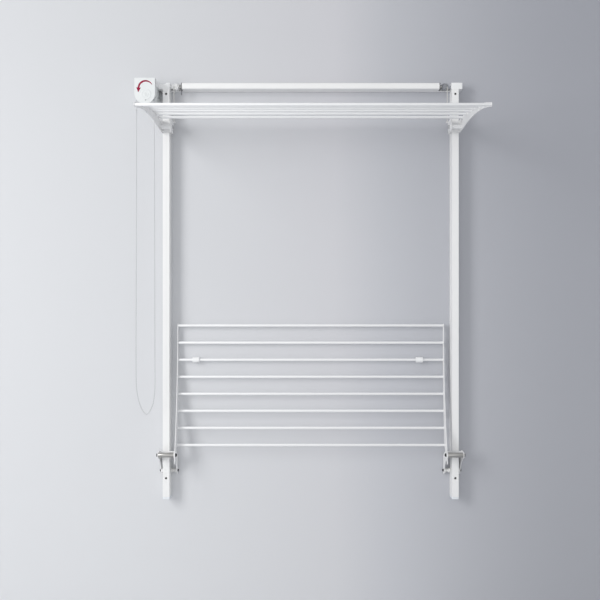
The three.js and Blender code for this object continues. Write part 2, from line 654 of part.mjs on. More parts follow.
// The arm's side view for an open rack, about its pivot.
function armShape() {
  const [tipOut, tipUp] = barPlace(BAR_COUNT);
  const shape = new THREE.Shape();
  shape.moveTo(-TAIL_LENGTH, TAIL_TOP);
  shape.lineTo(-TAIL_LENGTH, TAIL_BOTTOM + 3);
  shape.lineTo(-TAIL_LENGTH + 3, TAIL_BOTTOM);
  shape.lineTo(-4, -ARM_BOSS);
  for (let station = 0; station <= 14; station += 1) {
    const out = 14 + (tipOut - 14) * station / 14;
    shape.lineTo(out, armLowerEdge(out, tipOut));
  }
  shape.absarc(tipOut, tipUp, ARM_TIP_DEPTH, -Math.PI * 0.45, Math.PI * 0.45);
  for (let number = BAR_COUNT - 1; number >= 2; number -= 1) {
    const [out, up] = barPlace(number);
    shape.lineTo(out, up + ARM_MARGIN);
  }
  const slope = Math.atan2(FIRST_BAR_UP, FIRST_BAR_OUT) + Math.PI / 2;
  shape.absarc(FIRST_BAR_OUT, FIRST_BAR_UP, ARM_MARGIN + 1.5, Math.PI * 0.5, slope);
  shape.absarc(0, 0, ARM_BOSS, slope, Math.PI * 0.9);
  shape.lineTo(-TAIL_LENGTH + 10, TAIL_TOP);
  return shape;
}

// Turns a drawing about the pivot and moves it there.
function placed(shape, turn, pivotZ) {
  const { shape: outline, holes } = shape.extractPoints(6);
  const [cos, sin] = [Math.cos(turn), Math.sin(turn)];
  const move = ({ x, y }) => [PIVOT_REACH + x * cos - y * sin, pivotZ + x * sin + y * cos];
  const result = polygon(outline.map(move));
  result.holes = holes.map((hole) => polygon(hole.map(move)));
  return result;
}

function rackArm(turn, pivotZ, xLow) {
  const shape = armShape();
  shape.holes.push(circlePath(0, 0, PIN_RADIUS + RUNNING));
  for (let number = 1; number <= BAR_COUNT; number += 1) {
    shape.holes.push(circlePath(...barPlace(number), BAR_RADIUS + GAP));
  }
  return acrossWidth(placed(shape, turn, pivotZ), xLow, xLow + ARM_THICKNESS);
}

function rackBar(number, turn, pivotZ, halfLength) {
  const [out, up] = barPlace(number);
  const reach = PIVOT_REACH + out * Math.cos(turn) - up * Math.sin(turn);
  const z = pivotZ + out * Math.sin(turn) + up * Math.cos(turn);
  const ring = ringShape(reach, z, BAR_RADIUS, BAR_RADIUS - BAR_WALL);
  return acrossWidth(ring, -halfLength, halfLength, 6);
}

const folded = THREE.MathUtils.degToRad(FOLDED_TURN);
const racks = [
  { name: 'upper', turn: 0, pivotZ: UPPER_PIVOT_Z, armX: UPPER_ARM_X },
  { name: 'lower', turn: folded, pivotZ: LOWER_PIVOT_Z, armX: LOWER_ARM_X },
];

for (const { name, turn, pivotZ, armX } of racks) {
  for (const [side, label] of SIDES) {
    add(`${name}_arm_${label}`, onSide(side, rackArm(turn, pivotZ, armX)), 'whitePaint');
  }
  for (let number = 1; number <= BAR_COUNT; number += 1) {
    const bar = rackBar(number, turn, pivotZ, armX + ARM_THICKNESS - GAP);
    add(`${name}_bar_${number}`, bar, 'whitePaint');
  }
}

// Clips on a lower bar that rest on the wall when the rack is folded up.
function wallBumper(middle) {
  const [out, up] = barPlace(BUMPER_BAR);
  const reach = PIVOT_REACH + out * Math.cos(folded) - up * Math.sin(folded);
  const z = LOWER_PIVOT_Z + out * Math.sin(folded) + up * Math.cos(folded);
  const shape = new THREE.Shape();
  shape.moveTo(2 * GAP, z + BUMPER_FOOT);
  shape.lineTo(2 * GAP, z - BUMPER_FOOT);
  shape.absarc(reach, z, BUMPER_RADIUS, -Math.PI / 2, Math.PI / 2);
  shape.holes.push(circlePath(reach, z, BAR_RADIUS + GAP));
  return acrossWidth(shape, middle - BUMPER_WIDTH / 2, middle + BUMPER_WIDTH / 2);
}

for (const [side, label] of SIDES) {
  const middle = side * (LOWER_ARM_X - BUMPER_INSETS[label]);
  add(`wall_bumper_${label}`, wallBumper(middle), 'whitePlastic');
}

// ---------------------------------------------------------------- carriages of the upper rack

// A stop just above the arm's tail, which the tail comes up against when the rack is open.
function stopTab(pivotZ, xLow, xHigh) {
  const bottom = pivotZ + TAIL_TOP + GAP;
  return block(xLow, xHigh, PIVOT_REACH - TAIL_LENGTH + 1, PIVOT_REACH - TAIL_LENGTH + 9,
    bottom, bottom + 5.4);
}

// Reach and height of a plate's corners, which differ only behind the pivot.
function carriagePlate(behind) {
  const inFront = [[8, -14], [13, -9], [13, 9], [8, 26], [-8, 30], [-36, 28]]
    .map(([out, up]) => [PIVOT_REACH + out, up]);
  return polygon([...inFront, ...behind].map(([reach, up]) => [reach, UPPER_PIVOT_Z + up]));
}

function carriage() {
  const innerPlate = carriagePlate([[CORD_REACH - 8, 28], [CORD_REACH - 8, 18], [44, 13], [44, -14]]);
  const outerPlate = carriagePlate([[6, 28], [6, -14]]);
  const low = UPPER_PIVOT_Z - CARRIAGE_DROP + 1;
  const high = UPPER_PIVOT_Z + CARRIAGE_RISE;
  const innerX = INNER_PLATE_X - PLATE;
  const outerX = OUTER_PLATE_X + OUTER_PLATE;
  const keyHalf = GROOVE_WIDTH / 2 - 1;
  const pieces = [
    acrossWidth(innerPlate, innerX, INNER_PLATE_X),
    acrossWidth(outerPlate, OUTER_PLATE_X, outerX),
    block(innerX + 1, outerX - 1, WEB_REACH, WEB_REACH + PLATE, low, high),
    block(RAIL_X + HALF_RAIL - GROOVE_DEPTH + 2 * GAP, OUTER_PLATE_X + 1,
      GROOVE_REACH - keyHalf, GROOVE_REACH + keyHalf, low, high),
    rodAlongX(HUB_RADIUS, innerX - HUB_STAND_OUT, OUTER_PLATE_X + 1, PIVOT_REACH, UPPER_PIVOT_Z),
    block(CORD_X - 5, innerX + 1, CORD_REACH - 6, CORD_REACH + 6, lugTop - PLATE, lugTop),
    stopTab(UPPER_PIVOT_Z, outerX - 1, outerX + GAP + ARM_THICKNESS),
  ];
  const eye = new THREE.CylinderGeometry(LIFT_CORD_RADIUS + GAP, LIFT_CORD_RADIUS + GAP, 20, 10);
  eye.rotateX(Math.PI / 2);
  eye.translate(CORD_X, -CORD_REACH, lugTop);
  const pinHole = rodAlongX(PIN_RADIUS + GAP, innerX - HUB_STAND_OUT - 1, outerX + 1,
    PIVOT_REACH, UPPER_PIVOT_Z);
  return joined(pieces, [pinHole, eye]);
}

// Plastic liner between the carriage and the rail, with a rib in the rail's groove.
function glide() {
  const inner = INNER_PLATE_X + GAP;
  const side = RAIL_X - HALF_RAIL - GAP;
  const rib = GROOVE_WIDTH / 2 - 0.4;
  const frontEnd = RAIL_X + HALF_RAIL - GAP;
  const shape = polygon([
    [inner, GROOVE_REACH - rib], [side, GROOVE_REACH - rib],
    [side + GROOVE_DEPTH - 0.4, GROOVE_REACH - rib], [side + GROOVE_DEPTH - 0.4, GROOVE_REACH + rib],
    [side, GROOVE_REACH + rib], [side, RAIL_DEPTH + RUNNING], [frontEnd, RAIL_DEPTH + RUNNING],
    [frontEnd, WEB_REACH - GAP], [inner, WEB_REACH - GAP],
  ]);
  return upright(shape, UPPER_PIVOT_Z - CARRIAGE_DROP + 2, UPPER_PIVOT_Z + CARRIAGE_RISE + 1);
}

// A pin or bolt with a head at each end, along X.
function headedPin(radius, head, xFrom, xLeft, xRight, xTo, reach, z) {
  const edge = 1;
  return turnedAlongX([
    [0, xFrom], [head - edge, xFrom], [head, xFrom + edge], [head, xLeft], [radius, xLeft],
    [radius, xRight], [head, xRight], [head, xTo - edge], [head - edge, xTo], [0, xTo],
  ], reach, z);
}

function carriagePin() {
  const innerHead = INNER_PLATE_X - PLATE - HUB_STAND_OUT - GAP;
  const outerHead = UPPER_ARM_X + ARM_THICKNESS + GAP;
  return headedPin(PIN_RADIUS, 6.5, innerHead - 4.5, innerHead, outerHead, outerHead + 3,
    PIVOT_REACH, UPPER_PIVOT_Z);
}

for (const [side, label] of SIDES) {
  add(`carriage_${label}`, onSide(side, carriage()), 'whitePaint');
  add(`carriage_glide_${label}`, onSide(side, glide()), 'whitePlastic');
  add(`carriage_pin_${label}`, onSide(side, carriagePin()), 'darkSteel');
}

// ---------------------------------------------------------------- lower rack's brackets

// Broad round the axle, sweeping back to the side of the rail below it.
function lowerPlate() {
  const shape = new THREE.Shape();
  const back = 4 - PIVOT_REACH;
  const boltOut = CROSS_BOLT_REACH - PIVOT_REACH;
  shape.moveTo(back, -CROSS_BOLT_DROP - 13.5);
  shape.lineTo(boltOut + 3, -CROSS_BOLT_DROP - 13.5);
  shape.splineThru([
    new THREE.Vector2(boltOut + 11, -CROSS_BOLT_DROP + 5.5), new THREE.Vector2(-40, -35),
    new THREE.Vector2(-16, -18), new THREE.Vector2(3.2, -10.5),
  ]);
  shape.absarc(0, 0, 11, -1.27, 0.9);
  shape.lineTo(-2, 11);
  shape.lineTo(-33, 12);
  shape.lineTo(back, -14);
  return shape;
}

function lowerBracket() {
  const plate = placed(lowerPlate(), 0, LOWER_PIVOT_Z);
  const innerX = BRACKET_INNER_X - PLATE;
  const outerX = BRACKET_OUTER_X + PLATE;
  const bossX = RAIL_X + HALF_RAIL + GAP;
  const pieces = [
    acrossWidth(plate, innerX, BRACKET_INNER_X),
    acrossWidth(plate, BRACKET_OUTER_X, outerX),
    block(innerX + 1, outerX - 1, RAIL_DEPTH + 2, RAIL_DEPTH + 2 + PLATE,
      LOWER_PIVOT_Z - AXLE_TUBE_RADIUS + 1, LOWER_PIVOT_Z + AXLE_TUBE_RADIUS - 1),
    stopTab(LOWER_PIVOT_Z, innerX - 2 * GAP - ARM_THICKNESS, innerX + 1),
    rodAlongX(SPACER_RADIUS, bossX, BRACKET_OUTER_X + 1, CROSS_BOLT_REACH, crossBoltZ),
  ];
  return joined(pieces, [
    rodAlongX(PIN_RADIUS + GAP, innerX - 5, outerX + 1, PIVOT_REACH, LOWER_PIVOT_Z),
    rodAlongX(CROSS_BOLT_RADIUS + GAP, innerX - 5, outerX + 1, CROSS_BOLT_REACH, crossBoltZ),
  ]);
}

function axleTube() {
  const ring = ringShape(PIVOT_REACH, LOWER_PIVOT_Z, AXLE_TUBE_RADIUS, PIN_RADIUS + GAP);
  return acrossWidth(ring, BRACKET_INNER_X + GAP, BRACKET_OUTER_X - GAP, 9);
}

// A spool between the inner plate and the rail.
function spacer() {
  const from = BRACKET_INNER_X + GAP;
  const to = RAIL_X - HALF_RAIL - GAP;
  const bore = CROSS_BOLT_RADIUS + GAP;
  return turnedAlongX([
    [bore, from], [SPACER_RADIUS, from], [SPACER_RADIUS, from + 5], [SPACER_WAIST, from + 6.5],
    [SPACER_WAIST, to - 6.5], [SPACER_RADIUS, to - 5], [SPACER_RADIUS, to], [bore, to], [bore, from],
  ], CROSS_BOLT_REACH, crossBoltZ);
}

function axleBolt() {
  const innerHead = LOWER_ARM_X - GAP;
  const outerHead = BRACKET_OUTER_X + PLATE + GAP;
  return headedPin(PIN_RADIUS, 6.5, innerHead - 5, innerHead, outerHead, outerHead + 4.5,
    PIVOT_REACH, LOWER_PIVOT_Z);
}

function crossBolt() {
  const innerHead = BRACKET_INNER_X - PLATE - GAP;
  const outerHead = BRACKET_OUTER_X + PLATE + GAP;
  return headedPin(CROSS_BOLT_RADIUS, 5, innerHead - 4, innerHead, outerHead, outerHead + 4,
    CROSS_BOLT_REACH, crossBoltZ);
}

for (const [side, label] of SIDES) {
  add(`lower_bracket_${label}`, onSide(side, lowerBracket()), 'whitePaint');
  add(`axle_tube_${label}`, onSide(side, axleTube()), 'brushedSteel');
  add(`axle_bolt_${label}`, onSide(side, axleBolt()), 'darkSteel');
  add(`cross_bolt_${label}`, onSide(side, crossBolt()), 'darkSteel');
  add(`rail_spacer_${label}`, onSide(side, spacer()), 'whitePlastic');
}

export default rack;
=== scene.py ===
# %% [markdown]
# # A fold down drying rack on a wall
#
# Two guide rails stand against a wall under a head beam. An arched rack of bars hangs on two
# carriages that a bead chain winch lowers and lifts, and a second rack folds up below it.
# The measured frame comes first and gives the pieces their places. Lengths are in metres, +Z is
# up and the wall is the plane y = 0.

# %% Load the measured frame
import math

import bmesh
import bpy
from mathutils import Matrix, Vector


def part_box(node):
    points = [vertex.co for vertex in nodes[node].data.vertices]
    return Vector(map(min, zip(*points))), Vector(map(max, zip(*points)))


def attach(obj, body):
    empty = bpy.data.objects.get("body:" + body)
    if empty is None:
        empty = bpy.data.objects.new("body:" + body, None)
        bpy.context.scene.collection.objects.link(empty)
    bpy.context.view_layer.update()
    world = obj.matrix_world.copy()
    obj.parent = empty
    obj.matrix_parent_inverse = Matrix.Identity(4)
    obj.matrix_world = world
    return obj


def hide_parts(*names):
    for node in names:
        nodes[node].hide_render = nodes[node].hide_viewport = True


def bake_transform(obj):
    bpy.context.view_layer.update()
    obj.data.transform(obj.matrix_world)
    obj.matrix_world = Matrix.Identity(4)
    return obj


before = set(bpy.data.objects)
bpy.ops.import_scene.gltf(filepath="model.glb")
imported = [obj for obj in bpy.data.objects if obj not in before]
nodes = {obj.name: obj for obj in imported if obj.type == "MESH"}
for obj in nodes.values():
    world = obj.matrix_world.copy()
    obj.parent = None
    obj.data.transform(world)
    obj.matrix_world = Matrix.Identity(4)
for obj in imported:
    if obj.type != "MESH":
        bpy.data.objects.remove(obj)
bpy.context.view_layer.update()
OUTWARD = {"left": -1, "right": 1}
SIDES = tuple(OUTWARD)
NEAR = 1e-6


def middle(node):
    """Middle of a frame node's box."""
    low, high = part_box(node)
    return (Vector(low) + Vector(high)) / 2


def extent(node):
    """Lengths of a frame node's box."""
    low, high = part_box(node)
    return Vector(high) - Vector(low)


def outer_x(node):
    return max(abs(corner[0]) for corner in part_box(node))


def inner_x(node):
    return min(abs(corner[0]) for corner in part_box(node))


def placed(name, data):
    """An object with this data, in the scene."""
    obj = bpy.data.objects.new(name, data)
    bpy.context.scene.collection.objects.link(obj)
    return obj


# %% [markdown]
# ## The camera
#
# The rack is shown straight on, from three metres away and half way down the rails, so that the
# head beam, the bars and the rails stay level and upright.

# %% Camera
VIEW_DISTANCE = 3.05
EYE = Vector((-0.0386, -VIEW_DISTANCE, -0.7722))
camera = placed("camera", bpy.data.cameras.new("camera"))
camera.data.lens = 50
camera.data.sensor_width = 36
camera.data.clip_end = 60
camera.location = EYE
camera.rotation_euler = (math.radians(90), 0, 0)
bpy.context.scene.camera = camera
bpy.context.scene.view_settings.view_transform = "Standard"
print("camera:", VIEW_DISTANCE, "m out from the wall")

# %% [markdown]
# ## Shader maths as Python
#
# A finish is arithmetic on patterns: a little of this noise, one minus that mask. One small
# class stands for a socket and lets Python's own operators add the Math nodes. Most other nodes
# are made by one method, from the node's type, its settings and what goes into its sockets.


# %% A socket that does sums
class Wire:
    def __init__(self, tree, socket):
        self.tree = tree
        self.socket = socket

    def sum(self, operation, first, second):
        node = self.tree.nodes.new("ShaderNodeMath")
        node.operation = operation
        for slot, value in zip(node.inputs, (first, second)):
            plug_in(self.tree, slot, value)
        return Wire(self.tree, node.outputs[0])

    def __add__(self, other):
        return self.sum("ADD", self, other)

    def __radd__(self, other):
        return self.sum("ADD", other, self)

    def __sub__(self, other):
        return self.sum("SUBTRACT", self, other)

    def __rsub__(self, other):
        return self.sum("SUBTRACT", other, self)

    def __mul__(self, other):
        return self.sum("MULTIPLY", self, other)

    def __rmul__(self, other):
        return self.sum("MULTIPLY", other, self)


def plug_in(tree, slot, value):
    """Links a wire or a node's socket to a slot, or gives the slot a plain value."""
    source = value.socket if isinstance(value, Wire) else value
    if isinstance(source, bpy.types.NodeSocket):
        tree.links.new(source, slot)
    else:
        slot.default_value = source


# %% A finish under construction
MIX_INPUTS = (0, 6, 7)
MIX_RESULT = 2


class Finish:
    def __init__(self, name):
        self.material = bpy.data.materials.new(name)
        self.material.use_nodes = True
        self.tree = self.material.node_tree
        self.tree.nodes.clear()
        self.output = self.tree.nodes.new("ShaderNodeOutputMaterial")

    def node(self, kind, settings=None, inputs=None, output=0):
        node = self.tree.nodes.new(kind)
        for key, value in (settings or {}).items():
            if key == "stops":
                ramp = node.color_ramp.elements
                while len(ramp) < len(value):
                    ramp.new(0.5)
                for stop, (place, colour) in zip(ramp, value):
                    stop.position = place
                    stop.color = (*colour, 1)
            else:
                setattr(node, key, value)
        for key, value in (inputs or {}).items():
            plug_in(self.tree, node.inputs[key], value)
        return Wire(self.tree, node.outputs[output])

    def place(self, stretch=(1, 1, 1)):
        """Position on the object, with a pattern drawn out along its axes."""
        at = self.node("ShaderNodeTexCoord", output="Object")
        return self.node("ShaderNodeMapping", {}, {"Vector": at, "Scale": stretch})

    def noise(self, at, scale, detail=3.0, roughness=0.5):
        inputs = {"Vector": at, "Scale": scale, "Detail": detail, "Roughness": roughness}
        return self.node("ShaderNodeTexNoise", {}, inputs)

    def mix(self, share, *colours):
        """Two colours, each an (r, g, b) or a wire, mixed by a share of the second."""
        node = self.tree.nodes.new("ShaderNodeMix")
        node.data_type = "RGBA"
        opaque = [part if isinstance(part, Wire) else (*part, 1) for part in colours]
        for slot, value in zip(MIX_INPUTS, (share, *opaque)):
            plug_in(self.tree, node.inputs[slot], value)
        return Wire(self.tree, node.outputs[MIX_RESULT])

    def bump(self, height, depth, strength=1.0):
        inputs = {"Height": height, "Distance": depth, "Strength": strength}
        return self.node("ShaderNodeBump", {}, inputs)

    def done(self, **inputs):
        """Ends the finish in one Principled shader."""
        settings = {key.replace("_", " "): value for key, value in inputs.items()}
        shader = self.node("ShaderNodeBsdfPrincipled", {}, settings)
        self.tree.links.new(shader.socket, self.output.inputs["Surface"])
        return self.material


print("shader tools ready")

# %% [markdown]
# ## White powder coat
#
# The rails, arms, brackets and bars are powder coated: dry paint that melts into a skin with a
# very fine orange peel. The coat has a faint cloudiness of tone, tiny dimples in its bump, and
# a roughness that wanders a little where it has been handled.


# %% Powder coat finishes
def powder_coat(name, white, shade, peel=2200, gloss=0.42):
    coat = Finish(name)
    at = coat.place()
    cloud = coat.noise(at, 9, 4)
    dimples = coat.noise(at, peel, 2)
    handled = coat.noise(at, 38, 5, 0.65)
    return coat.done(
        Base_Color=coat.mix(cloud, shade, white),
        Roughness=gloss - 0.08 + 0.16 * handled,
        Specular_IOR_Level=0.5,
        Normal=coat.bump(dimples + 0.15 * handled, 0.00003, 0.5),
    )


rail_white = powder_coat("rail_powder_coat", (0.885, 0.885, 0.88), (0.86, 0.862, 0.86))
arm_white = powder_coat("arm_powder_coat", (0.88, 0.88, 0.88), (0.85, 0.852, 0.855), 1800)
bar_white = powder_coat("bar_powder_coat", (0.905, 0.91, 0.915), (0.88, 0.885, 0.895), 2600, 0.36)
print("powder coats:", rail_white.name, arm_white.name, bar_white.name)

# %% [markdown]
# ## Moulded plastics
#
# The winch case, head brackets, end caps, drums and glides are injection moulded. The mould is
# etched, which leaves a fine even grain, and pale plastic is a touch see-through, so a little
# light scatters in it. Handling rubs some places smoother than others.


# %% Plastic finishes
def moulded(name, colour, shade, grain=1500, roughness=0.5, scatter=0.04):
    plastic = Finish(name)
    at = plastic.place()
    etched = plastic.noise(at, grain, 3, 0.6)
    flow = plastic.noise(at, 24, 3)
    rubbed = plastic.noise(at, 90, 4, 0.7)
    return plastic.done(
        Base_Color=plastic.mix(flow, shade, colour),
        Roughness=roughness - 0.06 + 0.12 * rubbed,
        Subsurface_Weight=scatter,
        Subsurface_Radius=(0.002, 0.002, 0.002),
        Subsurface_Scale=0.5,
        Normal=plastic.bump(etched, 0.00004, 0.45),
    )


case_plastic = moulded("white_case_plastic", (0.9, 0.905, 0.905), (0.87, 0.88, 0.885))
winch_plastic = moulded("winch_case_plastic", (0.755, 0.775, 0.775), (0.72, 0.745, 0.75))
cap_plastic = moulded("cool_cap_plastic", (0.84, 0.87, 0.90), (0.8, 0.835, 0.87), 1200, 0.45)
nylon = moulded("ivory_nylon", (0.8, 0.8, 0.79), (0.74, 0.74, 0.73), 1100, 0.48, 0.06)
grey_plastic = moulded("grey_slide_plastic", (0.14, 0.14, 0.155), (0.1, 0.1, 0.115), 900, 0.5, 0.0)
smoke_plastic = moulded("smoke_drum_plastic", (0.46, 0.47, 0.51), (0.36, 0.37, 0.41), 900, 0.4, 0.0)
wheel_plastic = moulded("ivory_wheel_plastic", (0.72, 0.71, 0.66), (0.66, 0.65, 0.61), 800, 0.42)
print("plastics:", case_plastic.name, cap_plastic.name, grey_plastic.name)

# %% [markdown]
# ## Steel
#
# The axle sleeves and the drive shaft are bright drawn steel. Drawing leaves long scratches
# along the length, so the noise is squeezed across the axis and stretched along it. Carriage
# pins and wall screws are zinc plated. The bolts in the lower brackets are blackened: an oxide
# skin that stays dark and goes patchy where a tool has turned it.


# %% Metal finishes
FINE_ACROSS = 900
FINE_ALONG = 12


def drawn_steel(name, along, tone=(0.56, 0.55, 0.53)):
    """Bright steel with scratches along one axis, 0 for X, 1 for Y and 2 for Z."""
    steel = Finish(name)
    stretch = [FINE_ACROSS] * 3
    stretch[along] = FINE_ALONG
    scratches = steel.noise(steel.place(stretch), 1, 4, 0.7)
    stain = steel.noise(steel.place(), 45, 4)
    worn = tuple(0.72 * part for part in tone)
    return steel.done(
        Base_Color=steel.mix(0.65 * scratches + 0.35 * stain, worn, tone),
        Metallic=1.0,
        Roughness=0.22 + 0.2 * scratches,
        Normal=steel.bump(scratches, 0.00003, 0.6),
    )


def blackened_steel():
    steel = Finish("blackened_steel")
    at = steel.place()
    patches = steel.noise(at, 220, 5, 0.7)
    fine = steel.noise(at, 1900, 2)
    worn = (patches - 0.52) * 6
    rubbed = steel.node("ShaderNodeClamp", {}, {"Value": worn})
    return steel.done(
        Base_Color=steel.mix(0.35 * rubbed, (0.035, 0.035, 0.04), (0.3, 0.29, 0.28)),
        Metallic=0.85,
        Roughness=0.48 - 0.2 * rubbed,
        Normal=steel.bump(fine, 0.00003, 0.5),
    )


bright_steel = drawn_steel("drawn_steel", 0)
screw_steel = drawn_steel("zinc_screw_steel", 1, (0.6, 0.61, 0.62))
dark_steel = blackened_steel()
print("metals:", bright_steel.name, screw_steel.name, dark_steel.name)

# %% [markdown]
# ## The bead chain and its route
#
# The winch is worked by an endless chain of moulded beads on a cord. It leaves a slot in the
# bottom of the winch, hangs straight under its own weight, turns in a loop with a slight point
# where the connector sits, and goes back in by the other slot. The route is the same list of
# points that the frame's chain follows, counted across and up from the chain wheel's axis.

# %% Route of the chain, in metres
wheel = middle("chain_wheel")
CHAIN_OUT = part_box("bead_chain")[0][1] / 2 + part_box("bead_chain")[1][1] / 2
BEAD_DIAMETER = 0.0044
ROUTE_STEP = 0.004
ON_WHEEL_START = [
    (-0.0004, 0.0312), (-0.0119, 0.0288), (-0.0221, 0.0221), (-0.0288, 0.0119), (-0.0312, 0.0),
    (-0.0314, -0.0600),
]
HANGING = [
    (-0.0314, -0.0600), (-0.0326, -0.6000), (-0.0336, -0.9600), (-0.0329, -1.0200),
    (-0.0302, -1.0580), (-0.0237, -1.0900), (-0.0134, -1.1180), (-0.0030, -1.1345),
    (0.0030, -1.1385), (0.0105, -1.1340), (0.0195, -1.1200), (0.0275, -1.0980),
    (0.0320, -1.0680), (0.0338, -1.0270), (0.0334, -0.9600), (0.0324, -0.6000),
    (0.0314, -0.0600),
]
ON_WHEEL_END = [(-across, up) for across, up in reversed(ON_WHEEL_START)]


def between(level, knots, width, t):
    """One round of blending towards t, for points whose knots lie width apart."""
    rows = zip(level, level[1:], knots, knots[width:])
    return [a.lerp(b, (t - low) / (high - low)) for a, b, low, high in rows]


def smooth_route(points):
    """Centripetal Catmull-Rom line through the points, in short steps."""
    ends = [2 * points[0] - points[1]] + points + [2 * points[-1] - points[-2]]
    line = []
    for corners in zip(ends, ends[1:], ends[2:], ends[3:]):
        knots = [0.0]
        for a, b in zip(corners, corners[1:]):
            knots.append(knots[-1] + math.sqrt((b - a).length))
        pieces = max(2, round((corners[2] - corners[1]).length / ROUTE_STEP))
        for piece in range(pieces):
            t = knots[1] + (knots[2] - knots[1]) * piece / pieces
            first = between(corners, knots, 1, t)
            second = between(first, knots, 2, t)
            line.append(between(second, knots[1:], 1, t)[0])
    line.append(points[-1].copy())
    return line


def chain_line(route):
    """The chain's middle line, from across and up to the rack's own frame."""
    points = [Vector((wheel.x + across, CHAIN_OUT, wheel.z + up)) for across, up in route]
    return smooth_route(points)


hanging_line = chain_line(HANGING)
CHAIN_LENGTH = sum((b - a).length for a, b in zip(hanging_line, hanging_line[1:]))
print("chain hangs", round(CHAIN_LENGTH, 3), "m from slot to slot")

# %% [markdown]
# ## Growing things that repeat
#
# Beads along a chain, bars across a rack and screws at four places are one shape many times.
# Geometry Nodes suit that: a tree with named sizes makes the shape and sets it on the points
# of a small mesh. Each tree ends by making its copies real and giving them their material, and
# the result is kept as a plain mesh.


# %% A geometry tree and the mesh it grows
class Grower:
    def __init__(self, name, **sizes):
        self.tree = bpy.data.node_groups.new(name, "GeometryNodeTree")
        face = self.tree.interface
        face.new_socket("Geometry", in_out="INPUT", socket_type="NodeSocketGeometry")
        face.new_socket("Geometry", in_out="OUTPUT", socket_type="NodeSocketGeometry")
        for label, kind in sizes.items():
            face.new_socket(label, in_out="INPUT", socket_type="NodeSocket" + kind)
        self.inputs = self.tree.nodes.new("NodeGroupInput").outputs
        self.output = self.tree.nodes.new("NodeGroupOutput").inputs[0]

    def node(self, kind, settings=None, inputs=None, output=0):
        node = self.tree.nodes.new("GeometryNode" + kind)
        for key, value in (settings or {}).items():
            setattr(node, key, value)
        for key, value in (inputs or {}).items():
            plug_in(self.tree, node.inputs[key], value)
        return node.outputs[output]

    def join(self, *parts):
        joined = self.tree.nodes.new("GeometryNodeJoinGeometry")
        for part in parts:
            self.tree.links.new(part, joined.inputs[0])
        return joined.outputs[0]

    def done(self, shape):
        real = self.node("RealizeInstances", {}, {"Geometry": shape})
        shaded = self.node("SetShadeSmooth", {}, {"Geometry": real, "Shade Smooth": True})
        finish = {"Geometry": shaded, "Material": self.inputs["Finish"]}
        self.tree.links.new(self.node("SetMaterial", {}, finish), self.output)
        return self.tree


def grow(name, seed_mesh, tree, **values):
    """Runs a tree on a seed mesh and keeps the plain result."""
    grown = placed(name, seed_mesh)
    modifier = grown.modifiers.new("grow", "NODES")
    modifier.node_group = tree
    for socket in tree.interface.items_tree:
        if socket.in_out == "INPUT" and socket.name in values:
            modifier[socket.identifier] = values[socket.name]
    ready = grown.evaluated_get(bpy.context.evaluated_depsgraph_get())
    plain = bpy.data.meshes.new_from_object(ready)
    plain.name = name
    grown.modifiers.clear()
    grown.data = plain
    return grown


def seed_points(points, edges=()):
    mesh = bpy.data.meshes.new("seed")
    mesh.from_pydata([tuple(p) for p in points], list(edges), [])
    return mesh


def seed_line(points):
    return seed_points(points, [(i, i + 1) for i in range(len(points) - 1)])


def belongs(obj, body, slot, *replaced):
    """Says which body a piece rides on and the frame nodes it stands for. The slot is not used."""
    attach(obj, body)
    if replaced:
        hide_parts(*replaced)
    return obj


def smooth_piece(name, shape, finish):
    """Makes a mesh in progress a smooth shaded object with one finish."""
    mesh = bpy.data.meshes.new(name)
    shape.to_mesh(mesh)
    shape.free()
    mesh.materials.append(finish)
    mesh.polygons.foreach_set("use_smooth", [True] * len(mesh.polygons))
    mesh.polygons.foreach_set("material_index", [0] * len(mesh.polygons))
    return placed(name, mesh)


print("geometry tools ready")

# %% [markdown]
# ## Beads on a string
#
# Control chain is a row of equal beads moulded on one thin cord. The tree walks along the
# hanging line at the bead pitch, sets a bead at each step, and draws the cord through them.
# Each bead is a ball of few faces, because there are several hundred.


# %% The bead tree
def bead_tree():
    grower = Grower("beads_on_a_string", Pitch="Float", Radius="Float", Cord="Float",
                    Finish="Material")
    sizes = grower.inputs
    line = grower.node("MeshToCurve", {}, {"Mesh": sizes["Geometry"]})
    steps = grower.node("ResampleCurve", {"mode": "LENGTH"},
                        {"Curve": line, "Length": sizes["Pitch"]})
    ball = grower.node("MeshIcoSphere", {}, {"Radius": sizes["Radius"], "Subdivisions": 2})
    beads = grower.node("InstanceOnPoints", {}, {"Points": steps, "Instance": ball})
    ring = grower.node("CurvePrimitiveCircle", {}, {"Radius": sizes["Cord"], "Resolution": 6})
    cord = grower.node("CurveToMesh", {},
                       {"Curve": steps, "Profile Curve": ring, "Fill Caps": True})
    return grower.done(grower.join(beads, cord))


bead_plastic = moulded("bead_plastic", (0.64, 0.65, 0.66), (0.56, 0.57, 0.59), 1500, 0.38, 0.0)
beads = bead_tree()
BEAD_PITCH = 0.006
STRING_RADIUS = 0.0007
CHAIN_SIZES = {"Pitch": BEAD_PITCH, "Radius": BEAD_DIAMETER / 2, "Cord": STRING_RADIUS,
               "Finish": bead_plastic}
hanging_chain = grow("bead_chain_hanging", seed_line(hanging_line), beads, **CHAIN_SIZES)
belongs(hanging_chain, "wall_frame", "chain", "bead_chain")
for name, route in (("start", ON_WHEEL_START), ("end", ON_WHEEL_END)):
    seed = seed_line(chain_line(route))
    on_wheel = grow("bead_chain_on_wheel_" + name, seed, beads, **CHAIN_SIZES)
    belongs(on_wheel, "wall_frame", "chain")
print("chain:", len(hanging_chain.data.polygons), "faces")
